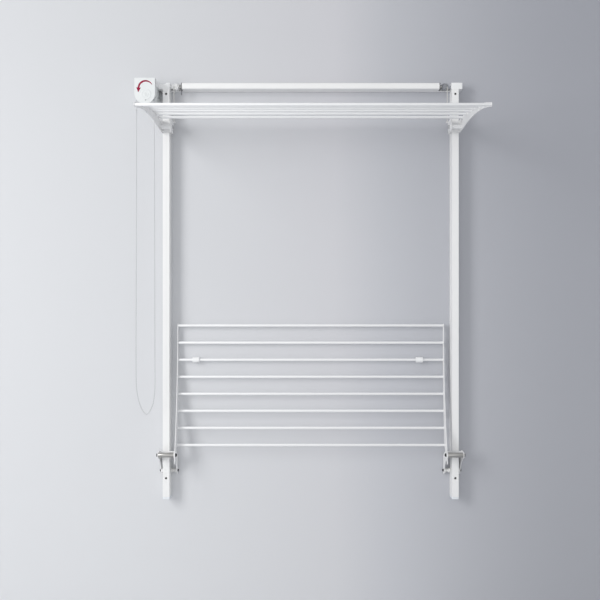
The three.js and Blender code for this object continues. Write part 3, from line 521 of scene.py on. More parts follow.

# %% [markdown]
# ## Lift cords
#
# Each carriage hangs from its drum on a braided cord. As the carriage sinks the cord gets
# longer. Its tube is cut into many short rings between the drum and the lug. The braid is a
# pair of crossing waves in tone and bump.


# %% Braided cord finish
def braid(name, dark, light):
    cord = Finish(name)
    at = cord.node("ShaderNodeTexCoord", output="Object")
    strands = [
        cord.node("ShaderNodeTexWave", {"bands_direction": "DIAGONAL", "wave_profile": "SIN"},
                  {"Vector": cord.node("ShaderNodeMapping", {}, {"Vector": at, "Scale": turn}),
                   "Scale": 260, "Distortion": 0.4})
        for turn in ((1, 1, 1), (-1, -1, 1))
    ]
    weave = strands[0] * 0.5 + strands[1] * 0.5
    return cord.done(
        Base_Color=cord.mix(weave, dark, light),
        Roughness=0.85 - 0.15 * weave,
        Normal=cord.bump(weave, 0.0002, 0.8),
    )


# %% A tube along any line
def tube_piece(name, line, radius, sides, material):
    """A closed tube whose rings stay square to the line without twisting."""
    tube = bmesh.new()
    rings = []
    across = Vector((0, 1, 0))
    for i, point in enumerate(line):
        ahead = (line[min(i + 1, len(line) - 1)] - line[max(i - 1, 0)]).normalized()
        across = (across - ahead * across.dot(ahead)).normalized()
        up = ahead.cross(across)
        angles = [2 * math.pi * side / sides for side in range(sides)]
        rings.append([tube.verts.new(point + radius * (math.cos(t) * across + math.sin(t) * up))
                      for t in angles])
    for first, second in zip(rings, rings[1:]):
        for corners in zip(first, first[1:] + first[:1], second[1:] + second[:1], second):
            tube.faces.new(corners)
    tube.faces.new(rings[0][::-1])
    tube.faces.new(rings[-1])
    bmesh.ops.recalc_face_normals(tube, faces=tube.faces)
    return smooth_piece(name, tube, material)


# %% Two cords in many short rings
cord_finish = braid("braided_cord", (0.5, 0.49, 0.46), (0.82, 0.81, 0.78))
wound_finish = {
    "left": braid("wound_cord_white", (0.72, 0.73, 0.73), (0.9, 0.9, 0.9)),
    "right": braid("wound_cord_smoke", (0.2, 0.205, 0.225), (0.4, 0.41, 0.44)),
}
CORD_RINGS = 120
CORD_SIDES = 12
CORD_IN_LUG = 0.003
for side in SIDES:
    low, high = (Vector(corner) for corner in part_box("lift_cord_" + side))
    mid = (low + high) / 2
    top = Vector((mid.x, mid.y, high.z))
    bottom = Vector((mid.x, mid.y, low.z - CORD_IN_LUG))
    line = [top.lerp(bottom, i / CORD_RINGS) for i in range(CORD_RINGS + 1)]
    radius = (high.x - low.x) / 2
    cord = tube_piece("lift_cord_line_" + side, line, radius, CORD_SIDES, cord_finish)
    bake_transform(cord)
    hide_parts("lift_cord_" + side)
print("lift cords:", CORD_RINGS, "rings each")

# %% [markdown]
# ## Softened edges
#
# The frame's pieces have knife-sharp edges, which never catch the light. Each plain piece is
# copied, its loose triangles are merged into clean faces, its edges are rounded with a bevel,
# and its normals are weighted to the big faces so that flats stay flat.


# %% Copy a frame node and round its edges
MERGED_WITHIN = 0.00002
FLAT_WITHIN = math.radians(0.6)
ROUNDED_BEYOND = math.radians(35)


def softened(node, body, slot, finish, radius, steps=2):
    shape = bmesh.new()
    shape.from_mesh(nodes[node].data)
    bmesh.ops.remove_doubles(shape, verts=shape.verts, dist=MERGED_WITHIN)
    bmesh.ops.dissolve_limit(shape, angle_limit=FLAT_WITHIN, verts=shape.verts,
                             edges=shape.edges, use_dissolve_boundaries=False)
    copy = smooth_piece(node + "_soft", shape, finish)
    bevel = copy.modifiers.new("rounded", "BEVEL")
    bevel.width = radius
    bevel.segments = steps
    bevel.limit_method = "ANGLE"
    bevel.angle_limit = ROUNDED_BEYOND
    bevel.use_clamp_overlap = True
    bevel.miter_outer = "MITER_ARC"
    weighted = copy.modifiers.new("flat_faces", "WEIGHTED_NORMAL")
    weighted.keep_sharp = True
    ready = copy.evaluated_get(bpy.context.evaluated_depsgraph_get())
    plain = bpy.data.meshes.new_from_object(ready)
    copy.modifiers.clear()
    copy.data = plain
    return belongs(copy, body, slot, node)


for side in SIDES:
    softened("rail_" + side, "wall_frame", "rail_coat", rail_white, 0.0006)
    softened("rail_end_cap_" + side, "wall_frame", "cap_plastic", cap_plastic, 0.0012, 3)
    softened("head_bracket_" + side, "wall_frame", "white_plastic", case_plastic, 0.0012, 3)
softened("head_beam", "wall_frame", "rail_coat", rail_white, 0.0004)
softened("head_cover", "wall_frame", "rail_coat", rail_white, 0.0004)
print("rails, caps, beam and brackets softened")

# %% [markdown]
# ## Pressed steel carriages, brackets and arms
#
# These are blanked from sheet and folded. Blanking leaves one edge a little rounded, and powder
# coat builds up on edges, so half a millimetre or so of rounding is right for all of them.

# %% Carriages, brackets and arms
for side in SIDES:
    softened("carriage_" + side, "carriages", "bracket_coat", arm_white, 0.0006)
    softened("carriage_glide_" + side, "carriages", "white_plastic", nylon, 0.0003)
    softened("lower_bracket_" + side, "wall_frame", "bracket_coat", arm_white, 0.0006)
    softened("upper_arm_" + side, "upper_rack", "arm_coat", arm_white, 0.0005)
    softened("lower_arm_" + side, "lower_rack", "arm_coat", arm_white, 0.0005)
    softened("wall_bumper_" + side, "lower_rack", "white_plastic", case_plastic, 0.0016, 3)
    softened("rail_spacer_" + side, "wall_frame", "white_plastic", nylon, 0.0006)
print("carriages, brackets, arms and bumpers softened")

# %% [markdown]
# ## Tubes: bars and axle sleeves
#
# A cut tube shows its wall, with the burr taken off. So its section, a long thin rectangle with
# rounded corners, is swept once round a circle. One tree does every tube.


# %% The tube tree
def tube_tree():
    grower = Grower("tubes_across", Length="Float", Radius="Float", Wall="Float", Rim="Float",
                    Sides="Int", Finish="Material")
    sizes = grower.inputs
    middle_radius = grower.tree.nodes.new("ShaderNodeMath")
    middle_radius.operation = "MULTIPLY_ADD"
    grower.tree.links.new(sizes["Wall"], middle_radius.inputs[0])
    middle_radius.inputs[1].default_value = -0.5
    grower.tree.links.new(sizes["Radius"], middle_radius.inputs[2])
    circle = grower.node("CurvePrimitiveCircle", {},
                         {"Radius": middle_radius.outputs[0], "Resolution": sizes["Sides"]})
    upright = grower.node("SetCurveNormal", {"mode": "Z_UP"}, {"Curve": circle})
    section = grower.node("CurvePrimitiveQuadrilateral", {"mode": "RECTANGLE"},
                          {"Width": sizes["Wall"], "Height": sizes["Length"]})
    eased = grower.node("FilletCurve", {"mode": "POLY"},
                        {"Curve": section, "Radius": sizes["Rim"], "Count": 2})
    ring = grower.node("CurveToMesh", {}, {"Curve": upright, "Profile Curve": eased})
    turned = grower.node("Transform", {}, {"Geometry": ring, "Rotation": (0, math.pi / 2, 0)})
    tubes = grower.node("InstanceOnPoints", {}, {"Points": sizes["Geometry"], "Instance": turned})
    return grower.done(tubes)


def eased_normals(obj, angle=40):
    """Faces point out, and only real corners look sharp."""
    shape = bmesh.new()
    shape.from_mesh(obj.data)
    bmesh.ops.recalc_face_normals(shape, faces=shape.faces)
    shape.to_mesh(obj.data)
    shape.free()
    obj.data.set_sharp_from_angle(angle=math.radians(angle))
    return obj


def tube_row(name, row_nodes, **sizes):
    """Tubes at the middles of like nodes, as long and as thick as the first of them."""
    size = extent(row_nodes[0])
    seed = seed_points([middle(node) for node in row_nodes])
    return eased_normals(grow(name, seed, tubes, Length=size.x, Radius=size.y / 2, **sizes))


tubes = tube_tree()
BAR_WALL = 0.001
BARS = {rack: sorted(name for name in nodes if name.startswith(rack + "_bar_"))
        for rack in ("upper", "lower")}
for rack, bars in BARS.items():
    row = tube_row(rack + "_rack_bars", bars, Wall=BAR_WALL, Rim=0.0003, Sides=32, Finish=bar_white)
    belongs(row, rack + "_rack", "bar_coat", *bars)
    print(rack, "rack:", len(bars), "bars,", len(row.data.polygons), "faces")
SLEEVE_WALL = 0.0047
sleeves = ["axle_tube_" + side for side in SIDES]
row = tube_row("axle_sleeves", sleeves, Wall=SLEEVE_WALL, Rim=0.0005, Sides=40, Finish=bright_steel)
belongs(row, "wall_frame", "steel", *sleeves)
print("sleeves:", sleeves)

# %% [markdown]
# ## Turned pieces
#
# Shaft, drums, bolts and screws are outlines, radius against length, turned about an axis. The
# turning is written out once, for an axis along X.


# %% Turning an outline
def turned_shape(outline, sides=48, ring=False):
    """A mesh in progress turned about X from (radius, place) pairs. A ring closes on itself."""
    shape = bmesh.new()
    loops = []
    for radius, place in outline:
        count = sides if radius > 0 else 1
        angles = [2 * math.pi * side / sides for side in range(count)]
        loops.append([shape.verts.new((place, radius * math.cos(t), radius * math.sin(t)))
                      for t in angles])
    pairs = list(zip(loops, loops[1:]))
    if ring:
        pairs.append((loops[-1], loops[0]))
    for first, second in pairs:
        for side in range(sides):
            after = (side + 1) % sides
            corners = [first[side % len(first)], second[side % len(second)],
                       second[after % len(second)], first[after % len(first)]]
            shape.faces.new(list(dict.fromkeys(corners)))
    return shape


def six_sided(shape, radius, low, high):
    """Turns the round of this radius between two places into a hexagon with that radius."""
    low, high = sorted((low, high))
    for vert in shape.verts:
        on_round = abs(vert.co.yz.length - radius) < NEAR
        if on_round and low - NEAR <= vert.co.x <= high + NEAR:
            angle = math.atan2(vert.co.z, vert.co.y) % (math.pi / 3) - math.pi / 6
            vert.co.yz *= math.cos(math.pi / 6) / math.cos(angle)


SHARP_BEYOND = 32


def finish_shape(name, shape, finish, place=(0, 0, 0), turn=None):
    """Puts a mesh in progress in its place and makes it a piece."""
    bmesh.ops.recalc_face_normals(shape, faces=shape.faces)
    if turn is not None:
        bmesh.ops.transform(shape, matrix=turn, verts=shape.verts)
    bmesh.ops.translate(shape, vec=Vector(place), verts=shape.verts)
    piece = smooth_piece(name, shape, finish)
    piece.data.set_sharp_from_angle(angle=math.radians(SHARP_BEYOND))
    return piece


def thicken(shape, step):
    """Makes a sheet in progress a slab as thick as the step."""
    grown = bmesh.ops.extrude_face_region(shape, geom=shape.faces[:])
    moved = [part for part in grown["geom"] if isinstance(part, bmesh.types.BMVert)]
    bmesh.ops.translate(shape, vec=step, verts=moved)


X_TO_Y = Matrix.Rotation(math.radians(90), 4, "Z")
print("turning tools ready")

# %% [markdown]
# ## Bolts and pivot pins
#
# Every joint of the rack turns on a button head bolt, zinc plated in the carriages and blackened
# in the lower brackets: a low dome with a hexagon socket at the inner end, and a locking nut at
# the outer end with the thread just showing through. Socket and nut are turned round first, and
# then the rings that belong to them are pulled into hexagons, so the mesh stays one closed skin.


# %% Bolts through the pivots
# shares of the head's radius and height
SOCKET_SIZE = 0.5
SOCKET_DEPTH = 0.55
DOME = ((0.72, 0.12), (0.92, 0.42), (1.0, 0.72))
SOCKET_DRAFT = 0.96
SOCKET_BURR = 0.0002
NUT_CORNER = 0.0009
NUT_FACE = 0.0004
THREAD_FOOT = 0.0006


def button_bolt(node, body, inner_face, outer_face, shank, finish, slot):
    """Bolt on the X axis that clamps from inner_face to outer_face, both measured outwards."""
    side = 1 if middle(node).x > 0 else -1
    near = inner_x(node)
    far = outer_x(node)
    head = extent(node).y / 2
    socket = head * SOCKET_SIZE
    tall = inner_face - near
    outline = [
        (0, near + tall * SOCKET_DEPTH), (socket * SOCKET_DRAFT, near + tall * SOCKET_DEPTH),
        (socket, near + SOCKET_BURR), (socket * 1.12, near),
        *((head * wide, near + tall * deep) for wide, deep in DOME),
        (head, inner_face), (shank, inner_face), (shank, outer_face), (head, outer_face),
        (head, far - NUT_CORNER), (head * 0.86, far - NUT_FACE), (shank * 1.15, far - NUT_FACE),
        (shank, far - THREAD_FOOT), (shank * 0.8, far), (0, far),
    ]
    shape = turned_shape([(radius, side * place) for radius, place in outline])
    six_sided(shape, socket * SOCKET_DRAFT, side * near, side * inner_face)
    six_sided(shape, socket, side * near, side * inner_face)
    six_sided(shape, head, side * outer_face, side * far)
    centre = middle(node)
    bolt = finish_shape(node + "_bolt", shape, finish, (0, centre.y, centre.z))
    return belongs(bolt, body, slot, node)


CLEAR = 0.0003
PIN_HEAD = 0.0045
CROSS_HEAD = 0.004
PIVOT_SHANK = 0.004
CROSS_SHANK = 0.003
for side in SIDES:
    pin, axle, cross = (stem + side for stem in ("carriage_pin_", "axle_bolt_", "cross_bolt_"))
    button_bolt(pin, "carriages", inner_x(pin) + PIN_HEAD, outer_x("upper_arm_" + side) + CLEAR,
                PIVOT_SHANK, screw_steel, "steel")
    bracket_out = outer_x("lower_bracket_" + side) + CLEAR
    button_bolt(axle, "wall_frame", inner_x("lower_arm_" + side) - CLEAR, bracket_out,
                PIVOT_SHANK, dark_steel, "dark_steel")
    button_bolt(cross, "wall_frame", inner_x(cross) + CROSS_HEAD, bracket_out,
                CROSS_SHANK, dark_steel, "dark_steel")
print("bolts:", 3 * len(SIDES))

# %% [markdown]
# ## Wall screws
#
# Four pan head screws hold the rails. Their heads sit deep inside the rail behind the round
# access holes, and their threads stand in the wall. One screw is turned, a thread is wound
# round it, and a tree sets a copy at each of the four places.


# %% One screw and four copies
HEAD_FACE = 0.0014
HEAD_BACK = 0.003
POINT = 0.006
THREAD_START = 0.007
THREAD_PITCHES = 11
THREAD_STEPS = 20
THREAD_HALF_WIDTH = 0.0007


def screw_shape(node):
    """A pan head screw along X, with a cross shaped recess and a raised thread."""
    low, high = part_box(node)
    length = high[1] - low[1]
    head = extent(node).x / 2
    shank = head * 0.62
    cross = head * 0.4
    core = shank * 0.78
    shape = turned_shape([
        (0, 0.0012), (cross * 0.5, 0.0012), (cross, 0.0001), (cross * 1.15, 0),
        (head * 0.7, 0.0003), (head, HEAD_FACE), (head, HEAD_BACK), (shank, HEAD_BACK),
        (core, POINT), (core, length - POINT), (0, length),
    ], 24)
    for vert in shape.verts:
        if abs(vert.co.yz.length - cross) < NEAR:
            angle = math.atan2(vert.co.z, vert.co.y)
            vert.co.yz *= 0.55 + 0.45 * abs(math.cos(2 * angle))
    ridge = []
    last = THREAD_PITCHES * THREAD_STEPS
    for step in range(last + 1):
        angle = 2 * math.pi * step / THREAD_STEPS
        along = THREAD_START + (length - THREAD_START - POINT) * step / last
        out = Vector((0, math.cos(angle), math.sin(angle)))
        base = Vector((along, 0, 0))
        feet = [base + out * shank * 0.7 + Vector((shift, 0, 0))
                for shift in (-THREAD_HALF_WIDTH, THREAD_HALF_WIDTH)]
        ridge.append([shape.verts.new(point) for point in (*feet, base + out * shank)])
    for first, second in zip(ridge, ridge[1:]):
        for a, b in ((0, 1), (1, 2), (2, 0)):
            shape.faces.new((first[a], first[b], second[b], second[a]))
    shape.faces.new(ridge[0][::-1])
    shape.faces.new(ridge[-1])
    return shape


def copies_tree():
    grower = Grower("copies_at_places", Template="Object", Finish="Material")
    template = grower.node("ObjectInfo", {}, {"Object": grower.inputs["Template"]}, "Geometry")
    places = {"Points": grower.inputs["Geometry"], "Instance": template}
    return grower.done(grower.node("InstanceOnPoints", {}, places))


screws = sorted(name for name in nodes if name.startswith("wall_screw_"))
template = finish_shape("screw_template", screw_shape(screws[0]), screw_steel, turn=X_TO_Y)
heads = [Vector((middle(node).x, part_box(node)[0][1], middle(node).z)) for node in screws]
wall_screws = grow("wall_screws", seed_points(heads), copies_tree(), Template=template,
                   Finish=screw_steel)
bpy.data.objects.remove(template)
belongs(eased_normals(wall_screws, SHARP_BEYOND), "wall_frame", "steel", *screws)
print("wall screws:", len(screws))

# %% [markdown]
# ## The shaft and its drums
#
# A round shaft runs behind the head cover from the winch to the far bracket. Each end carries
# a drum that the lift cord winds on: two thin flanges, a core, and a cone that runs out against
# the bracket. The drum by the winch is white and the far one is smoke grey.

# %% Shaft
shaft_low, shaft_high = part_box("drive_shaft")
shaft_radius = extent("drive_shaft").y / 2
CHAMFER = 0.0006
shaft_shape = turned_shape([
    (0, shaft_low[0]), (shaft_radius - CHAMFER, shaft_low[0]),
    (shaft_radius, shaft_low[0] + CHAMFER), (shaft_radius, shaft_high[0] - CHAMFER),
    (shaft_radius - CHAMFER, shaft_high[0]), (0, shaft_high[0]),
])
shaft_axis = middle("drive_shaft")
shaft = finish_shape("drive_shaft_rod", shaft_shape, bright_steel, (0, shaft_axis.y, shaft_axis.z))
belongs(shaft, "shaft_set", "steel", "drive_shaft")
print("shaft:", round(shaft_high[0] - shaft_low[0], 3), "m long")

# %% Drums and the cord wound on them
FLANGE = 0.0015
CORE = 0.008
BORE = 0.0043
CONE = 0.0085
EASE = 0.0004
DRUM_SIDES = 64
CORD_LAYERS = 2
LAYER_STEP = 1.8
CORD_GAP = 0.0001
STEPS_PER_TURN = 28
WOUND_SIDES = 8
DRUM_LOOKS = {"left": (case_plastic, "white_plastic"), "right": (smoke_plastic, "grey_plastic")}


def drum_outline(start, cone_end, rim):
    """Two flanges, the core between them and the cone, as a ring of (radius, place)."""
    end = cone_end - CONE
    return [
        (BORE, start), (rim - EASE, start), (rim, start + EASE), (rim, start + FLANGE - EASE),
        (rim - EASE, start + FLANGE), (CORE + EASE, start + FLANGE),
        (CORE, start + FLANGE + EASE), (CORE, end - FLANGE - EASE), (CORE + EASE, end - FLANGE),
        (rim - EASE, end - FLANGE), (rim, end - FLANGE + EASE), (rim, end - EASE),
        (rim - EASE, end), (CORE, end + 0.0005), (CORE * 0.8, end + 0.003),
        (BORE + 0.001, cone_end), (BORE, cone_end),
    ]


def wound_layer(sign, reach, begin, end, turns):
    """Middle line of cord wound round the shaft's axis, evenly from one place to another."""
    line = []
    for step in range(turns * STEPS_PER_TURN + 1):
        share = step / (turns * STEPS_PER_TURN)
        angle = math.pi + 2 * math.pi * step / STEPS_PER_TURN
        line.append(Vector((
            sign * (begin + (end - begin) * share),
            shaft_axis.y + reach * math.cos(angle),
            shaft_axis.z + reach * math.sin(angle),
        )))
    return line


for side, sign in OUTWARD.items():
    node = "cord_drum_" + side
    finish, slot = DRUM_LOOKS[side]
    start = inner_x(node)
    outline = drum_outline(start, outer_x(node), extent(node).y / 2)
    outline = [(radius, sign * place) for radius, place in outline]
    shape = turned_shape(outline, DRUM_SIDES, ring=True)
    drum = finish_shape("drum_" + side, shape, finish, (0, shaft_axis.y, shaft_axis.z))
    belongs(drum, "shaft_set", slot, node)
    cord_top = middle("lift_cord_" + side)
    wound = shaft_axis.y - cord_top.y
    radius = extent("lift_cord_" + side).x / 2
    first = start + FLANGE + radius
    last = abs(cord_top.x)
    turns = int((last - first) / (2 * radius + CORD_GAP))
    for layer in range(CORD_LAYERS):
        reach = wound + layer * LAYER_STEP * radius
        line = wound_layer(sign, reach, first + layer * radius, last - layer * radius, turns)
        cord = tube_piece(f"cord_winding_{side}_{layer + 1}", line, radius, WOUND_SIDES,
                          wound_finish[side])
        belongs(cord, "shaft_set", "cord")
    print(side, "drum:", turns, "turns of cord")

# %% [markdown]
# ## The winch
#
# Inside the winch the chain wheel turns a three start worm, and the worm turns a small wheel on
# the shaft: four turns of the chain wheel for one of the shaft, and it cannot run back. Those
# two keep the frame's own meshes, because their teeth must match. The case gets generous
# rounding, as a moulding has, with a larger radius round its front edge.

# %% Winch wheels and case
for node in ("chain_wheel", "worm_wheel"):
    nodes[node].data.materials.clear()
    nodes[node].data.materials.append(wheel_plastic)
softened("gearbox_housing", "wall_frame", "white_plastic", winch_plastic, 0.0008)
softened("gearbox_cover", "wall_frame", "white_plastic", winch_plastic, 0.0022, 4)
print("winch case softened")

# %% [markdown]
# ## The face of the winch
#
# A low round boss covers the end of the wheel's axle, with a cap in its middle and a case screw
# under it. Round the boss a printed arrow shows which way to pull: thin at its tail and broad
# at its head. It is a very thin layer of ink.

# %% Boss, cap and case screw
face_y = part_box("gearbox_cover")[0][1]
BOSS_ACROSS = 0.0035
BOSS_DOWN = 0.0045
FACE = Vector((wheel.x + BOSS_ACROSS, face_y, wheel.z - BOSS_DOWN))
SCREW_FROM_BOSS = Vector((-0.0005, 0, -0.0205))
BOSS = [
    (0, -0.0006), (0.0195, -0.0006), (0.0195, 0.0002), (0.0188, 0.0007), (0.017, 0.0009),
    (0.0128, 0.0009), (0.0118, 0.0001), (0.0108, 0.0001), (0.0098, 0.0009), (0, 0.0011),
]
AXLE_CAP = [
    (0, 0.0009), (0.0052, 0.0009), (0.0052, 0.0019), (0.0046, 0.0024), (0.0026, 0.0026),
    (0.0022, 0.0012), (0, 0.0012),
]
CASE_SCREW = [
    (0, -0.0005), (0.0026, -0.0005), (0.0026, 0.0004), (0.002, 0.0008), (0.0009, 0.0008),
    (0.0009, 0.0001), (0, 0.0001),
]


def face_disc(name, outline, centre, finish, slot, sides):
    """A low round piece on the winch's face, from (radius, height) pairs."""
    shape = turned_shape([(radius, -height) for radius, height in outline], sides)
    return belongs(finish_shape(name, shape, finish, centre, X_TO_Y), "wall_frame", slot)


face_disc("winch_boss", BOSS, FACE, winch_plastic, "white_plastic", 64)
face_disc("winch_axle_cap", AXLE_CAP, FACE, winch_plastic, "white_plastic", 48)
face_disc("winch_case_screw", CASE_SCREW, FACE + SCREW_FROM_BOSS, screw_steel, "steel", 24)
print("winch face: boss, cap and screw")


# %% Printed arrow
def printed_ink():
    ink = Finish("crimson_ink")
    at = ink.place()
    screen = ink.noise(at, 700, 2)
    tone = ink.noise(at, 60, 3)
    return ink.done(
        Base_Color=ink.mix(tone, (0.25, 0.001, 0.032), (0.31, 0.002, 0.045)),
        Specular_IOR_Level=0.25,
        Roughness=0.55 + 0.14 * screen,
        Normal=ink.bump(screen, 0.00001, 0.4),
    )


ARROW_UP = 0.0171
ARROW_RADIUS = 0.0252
ARROW_START = math.radians(28)
ARROW_END = math.radians(176)
ARROW_STEPS = 40
TAIL_WIDTH = 0.0016
BROAD_WIDTH = 0.0064
HEAD_WIDTH = 0.0162
INK_THICKNESS = 0.0002
INK_SUNK = 0.00005


def curved_arrow(name, centre, finish):
    """A flat arrow bent round a centre on the winch's face, from a thin tail to a broad head."""
    inner = []
    outer = []
    for step in range(ARROW_STEPS + 1):
        share = step / ARROW_STEPS
        angle = ARROW_START + (ARROW_END - ARROW_START) * share
        swell = math.sin(min(1, share * 1.6) * math.pi / 2)
        half = (TAIL_WIDTH + (BROAD_WIDTH - TAIL_WIDTH) * swell) / 2
        ray = Vector((math.cos(angle), 0, math.sin(angle)))
        inner.append(ray * (ARROW_RADIUS - half))
        outer.append(ray * (ARROW_RADIUS + half))
    ahead = Vector((-math.sin(ARROW_END), 0, math.cos(ARROW_END)))
    barbs = [ray * (ARROW_RADIUS + out * HEAD_WIDTH / 2) for out in (-1, 1)]
    point = ray * ARROW_RADIUS + ahead * HEAD_WIDTH * 1.05
    shape = bmesh.new()
    low = [shape.verts.new(p) for p in inner]
    high = [shape.verts.new(p) for p in outer]
    for i in range(ARROW_STEPS):
        shape.faces.new((low[i], low[i + 1], high[i + 1], high[i]))
    tip = [shape.verts.new(p) for p in (barbs[0], point, barbs[1])]
    shape.faces.new((low[-1], *tip, high[-1]))
    thicken(shape, (0, -INK_THICKNESS, 0))
    return finish_shape(name, shape, finish, centre)


ARROW_CENTRE = Vector((wheel.x + BOSS_ACROSS, face_y + INK_SUNK, wheel.z + ARROW_UP))
arrow = curved_arrow("turning_arrow", ARROW_CENTRE, printed_ink())
belongs(arrow, "wall_frame", "white_plastic")
print("arrow:", len(arrow.data.polygons), "faces")

# %% [markdown]
# ## Small trim
#
# Dark seals close the ends of the head cover, the left one with a tongue that hangs from it.
# Every bar is closed with a low domed plug, so that water doesn't run into the tubes. None of
# these carries any load, so they exist only here.


# %% End seals of the head cover
SEAL_GAP = 0.0004
SEAL_THICKNESS = 0.0022
SEAL_PROUD = 0.0006
SEAL_WIDTH = 0.0024
SEAL_BACK = -0.018
SEAL_CORNER = 0.005
SEAL_STEPS = 6
SEAL_INNER = 0.76
TAB = [(-0.0445, -0.009), (-0.0345, -0.009), (-0.0345, -0.0305), (-0.036, -0.032),
       (-0.043, -0.032), (-0.0445, -0.0305)]
seal_x = outer_x("head_cover") + SEAL_GAP


def cover_seal(side, sign):
    low, high = (Vector(corner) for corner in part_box("head_cover"))
    front = low.y - SEAL_PROUD
    top = high.z + SEAL_PROUD
    outline = [Vector((0, SEAL_BACK, top)), Vector((0, front + SEAL_CORNER, top))]
    for step in range(1, SEAL_STEPS):
        turn = math.pi / 2 * step / SEAL_STEPS
        outline.append(Vector((0, front + SEAL_CORNER - SEAL_CORNER * math.sin(turn),
                               top - SEAL_CORNER + SEAL_CORNER * math.cos(turn))))
    outline.append(Vector((0, front, top - SEAL_CORNER)))
    outline += [Vector((0, p.y, -p.z)) for p in reversed(outline)]
    shape = bmesh.new()
    skin = [shape.verts.new(p) for p in outline]
    inside = [shape.verts.new((0, min(p.y + SEAL_WIDTH, SEAL_BACK), p.z * SEAL_INNER))
              for p in outline]
    for i in range(len(skin) - 1):
        shape.faces.new((skin[i], skin[i + 1], inside[i + 1], inside[i]))
    thicken(shape, (sign * SEAL_THICKNESS, 0, 0))
    bmesh.ops.remove_doubles(shape, verts=shape.verts, dist=NEAR)
    seal = finish_shape("cover_seal_" + side, shape, grey_plastic, (sign * seal_x, 0, 0))
    belongs(seal, "wall_frame", "grey_plastic")


def wiper_tab():
    """Short tongue that hangs from the left seal and keeps the cord off the cover."""
    shape = bmesh.new()
    shape.faces.new([shape.verts.new((-seal_x, reach, up)) for reach, up in TAB])
    thicken(shape, (-SEAL_THICKNESS, 0, 0))
    tab = finish_shape("cover_seal_tab", shape, grey_plastic)
    belongs(tab, "wall_frame", "grey_plastic")


for side, sign in OUTWARD.items():
    cover_seal(side, sign)
wiper_tab()
print("cover seals:", len(SIDES))

# %% Plugs in the bars' ends
PLUG_DEPTH = 0.006
PLUG_PLAY = 0.00015
PLUG_SEAT = 0.0001
PLUG_INSET = 0.0002
for rack, bars in BARS.items():
    size = extent(bars[0])
    inner = size.y / 2 - BAR_WALL - PLUG_PLAY
    cap = size.y / 2 - PLUG_INSET
    for side, sign in OUTWARD.items():
        shape = turned_shape([
            (0, -PLUG_DEPTH), (inner, -PLUG_DEPTH), (inner, PLUG_SEAT), (cap, PLUG_SEAT),
            (cap, 0.0005), (cap * 0.8, 0.0011), (0, 0.0014),
        ], 24)
        facing = Matrix.Identity(4) if sign > 0 else Matrix.Rotation(math.pi, 4, "Z")
        plug = finish_shape("plug_template", shape, grey_plastic, turn=facing)
        ends = [middle(bar) + Vector((sign * size.x / 2, 0, 0)) for bar in bars]
        plugs = grow(f"{rack}_bar_plugs_{side}", seed_points(ends), copies_tree(),
                     Template=plug, Finish=grey_plastic)
        bpy.data.objects.remove(plug)
        belongs(eased_normals(plugs), rack + "_rack", "grey_plastic")
print("bar plugs:", 2 * len(SIDES) * len(bars))

# %% [markdown]
# ## Wall, floor and light
#
# The rack is shown on a plain painted wall above a pale floor. The wall's colour carries painted
# light falloff from the upper left: it is painted darker to the right and towards the top. Its
# back is left clear, so that the rack can be looked at from behind, and it is open where the flat
# backs of rails, beam and winch cover it, which lets light reach them.


# %% Wall with painted light falloff, and floor
def wall_with_painted_falloff():
    paint = Finish("wall_with_painted_falloff")
    at = paint.node("ShaderNodeTexCoord", output="Object")
    across = paint.node("ShaderNodeSeparateXYZ", {}, {"Vector": at})
    height = paint.node("ShaderNodeSeparateXYZ", {}, {"Vector": at}, "Z")
    # painted light falloff: share runs from the lit left of the wall to its darker right
    share = paint.node("ShaderNodeMapRange", {"interpolation_type": "SMOOTHSTEP"},
                       {"Value": across, "From Min": -0.75, "From Max": 1.05})
    raised = paint.node("ShaderNodeMapRange", {},
                        {"Value": height, "From Min": -1.8, "From Max": 0.2})
    roller = paint.noise(at, 320, 3)
    # painted light falloff: upper and lower are painted shade ramps, darker to the right, and lower
    # is the lighter one near the floor
    upper = paint.node("ShaderNodeValToRGB", {"stops": [
        (0.0, (0.61, 0.62, 0.64)), (0.45, (0.605, 0.605, 0.635)), (0.62, (0.515, 0.525, 0.56)),
        (1.0, (0.385, 0.395, 0.435))]}, {"Fac": share})
    lower = paint.node("ShaderNodeValToRGB", {"stops": [
        (0.0, (0.705, 0.715, 0.735)), (0.45, (0.67, 0.675, 0.7)), (0.62, (0.595, 0.605, 0.64)),
        (1.0, (0.425, 0.435, 0.47))]}, {"Fac": share})
    # painted light: the wall's colour is painted darker towards the top and lighter towards the
    # bottom
    tone = paint.mix(raised, lower, upper)
    paint_shader = paint.node("ShaderNodeBsdfPrincipled", {}, {
        "Base Color": tone, "Roughness": 0.9, "Normal": paint.bump(roller, 0.0001, 0.2)})
    clear = paint.node("ShaderNodeBsdfTransparent")
    behind = paint.node("ShaderNodeNewGeometry", output="Backfacing")
    both = paint.node("ShaderNodeMixShader", {}, {0: behind, 1: paint_shader, 2: clear})
    paint.tree.links.new(both.socket, paint.output.inputs["Surface"])
    return paint.material


def screed_floor():
    floor = Finish("pale_floor")
    at = floor.node("ShaderNodeTexCoord", output="Object")
    cloud = floor.noise(at, 3, 4)
    tone = floor.mix(cloud, (0.6, 0.61, 0.63), (0.68, 0.69, 0.7))
    return floor.done(Base_Color=tone, Roughness=0.8)


def sheet_of_stage(name, corners, faces, finish):
    mesh = bpy.data.meshes.new(name)
    mesh.from_pydata(corners, [], faces)
    mesh.materials.append(finish)
    placed(name, mesh)


WALL_Y = 0.0006
FLOOR_Z = -1.92
HALF_ROOM = 7.0
CEILING_Z = 4.5
COVERED = 0.002
WINCH_STRAIGHT = 0.05
WINCH_ROUND = (0.024, 0.018)


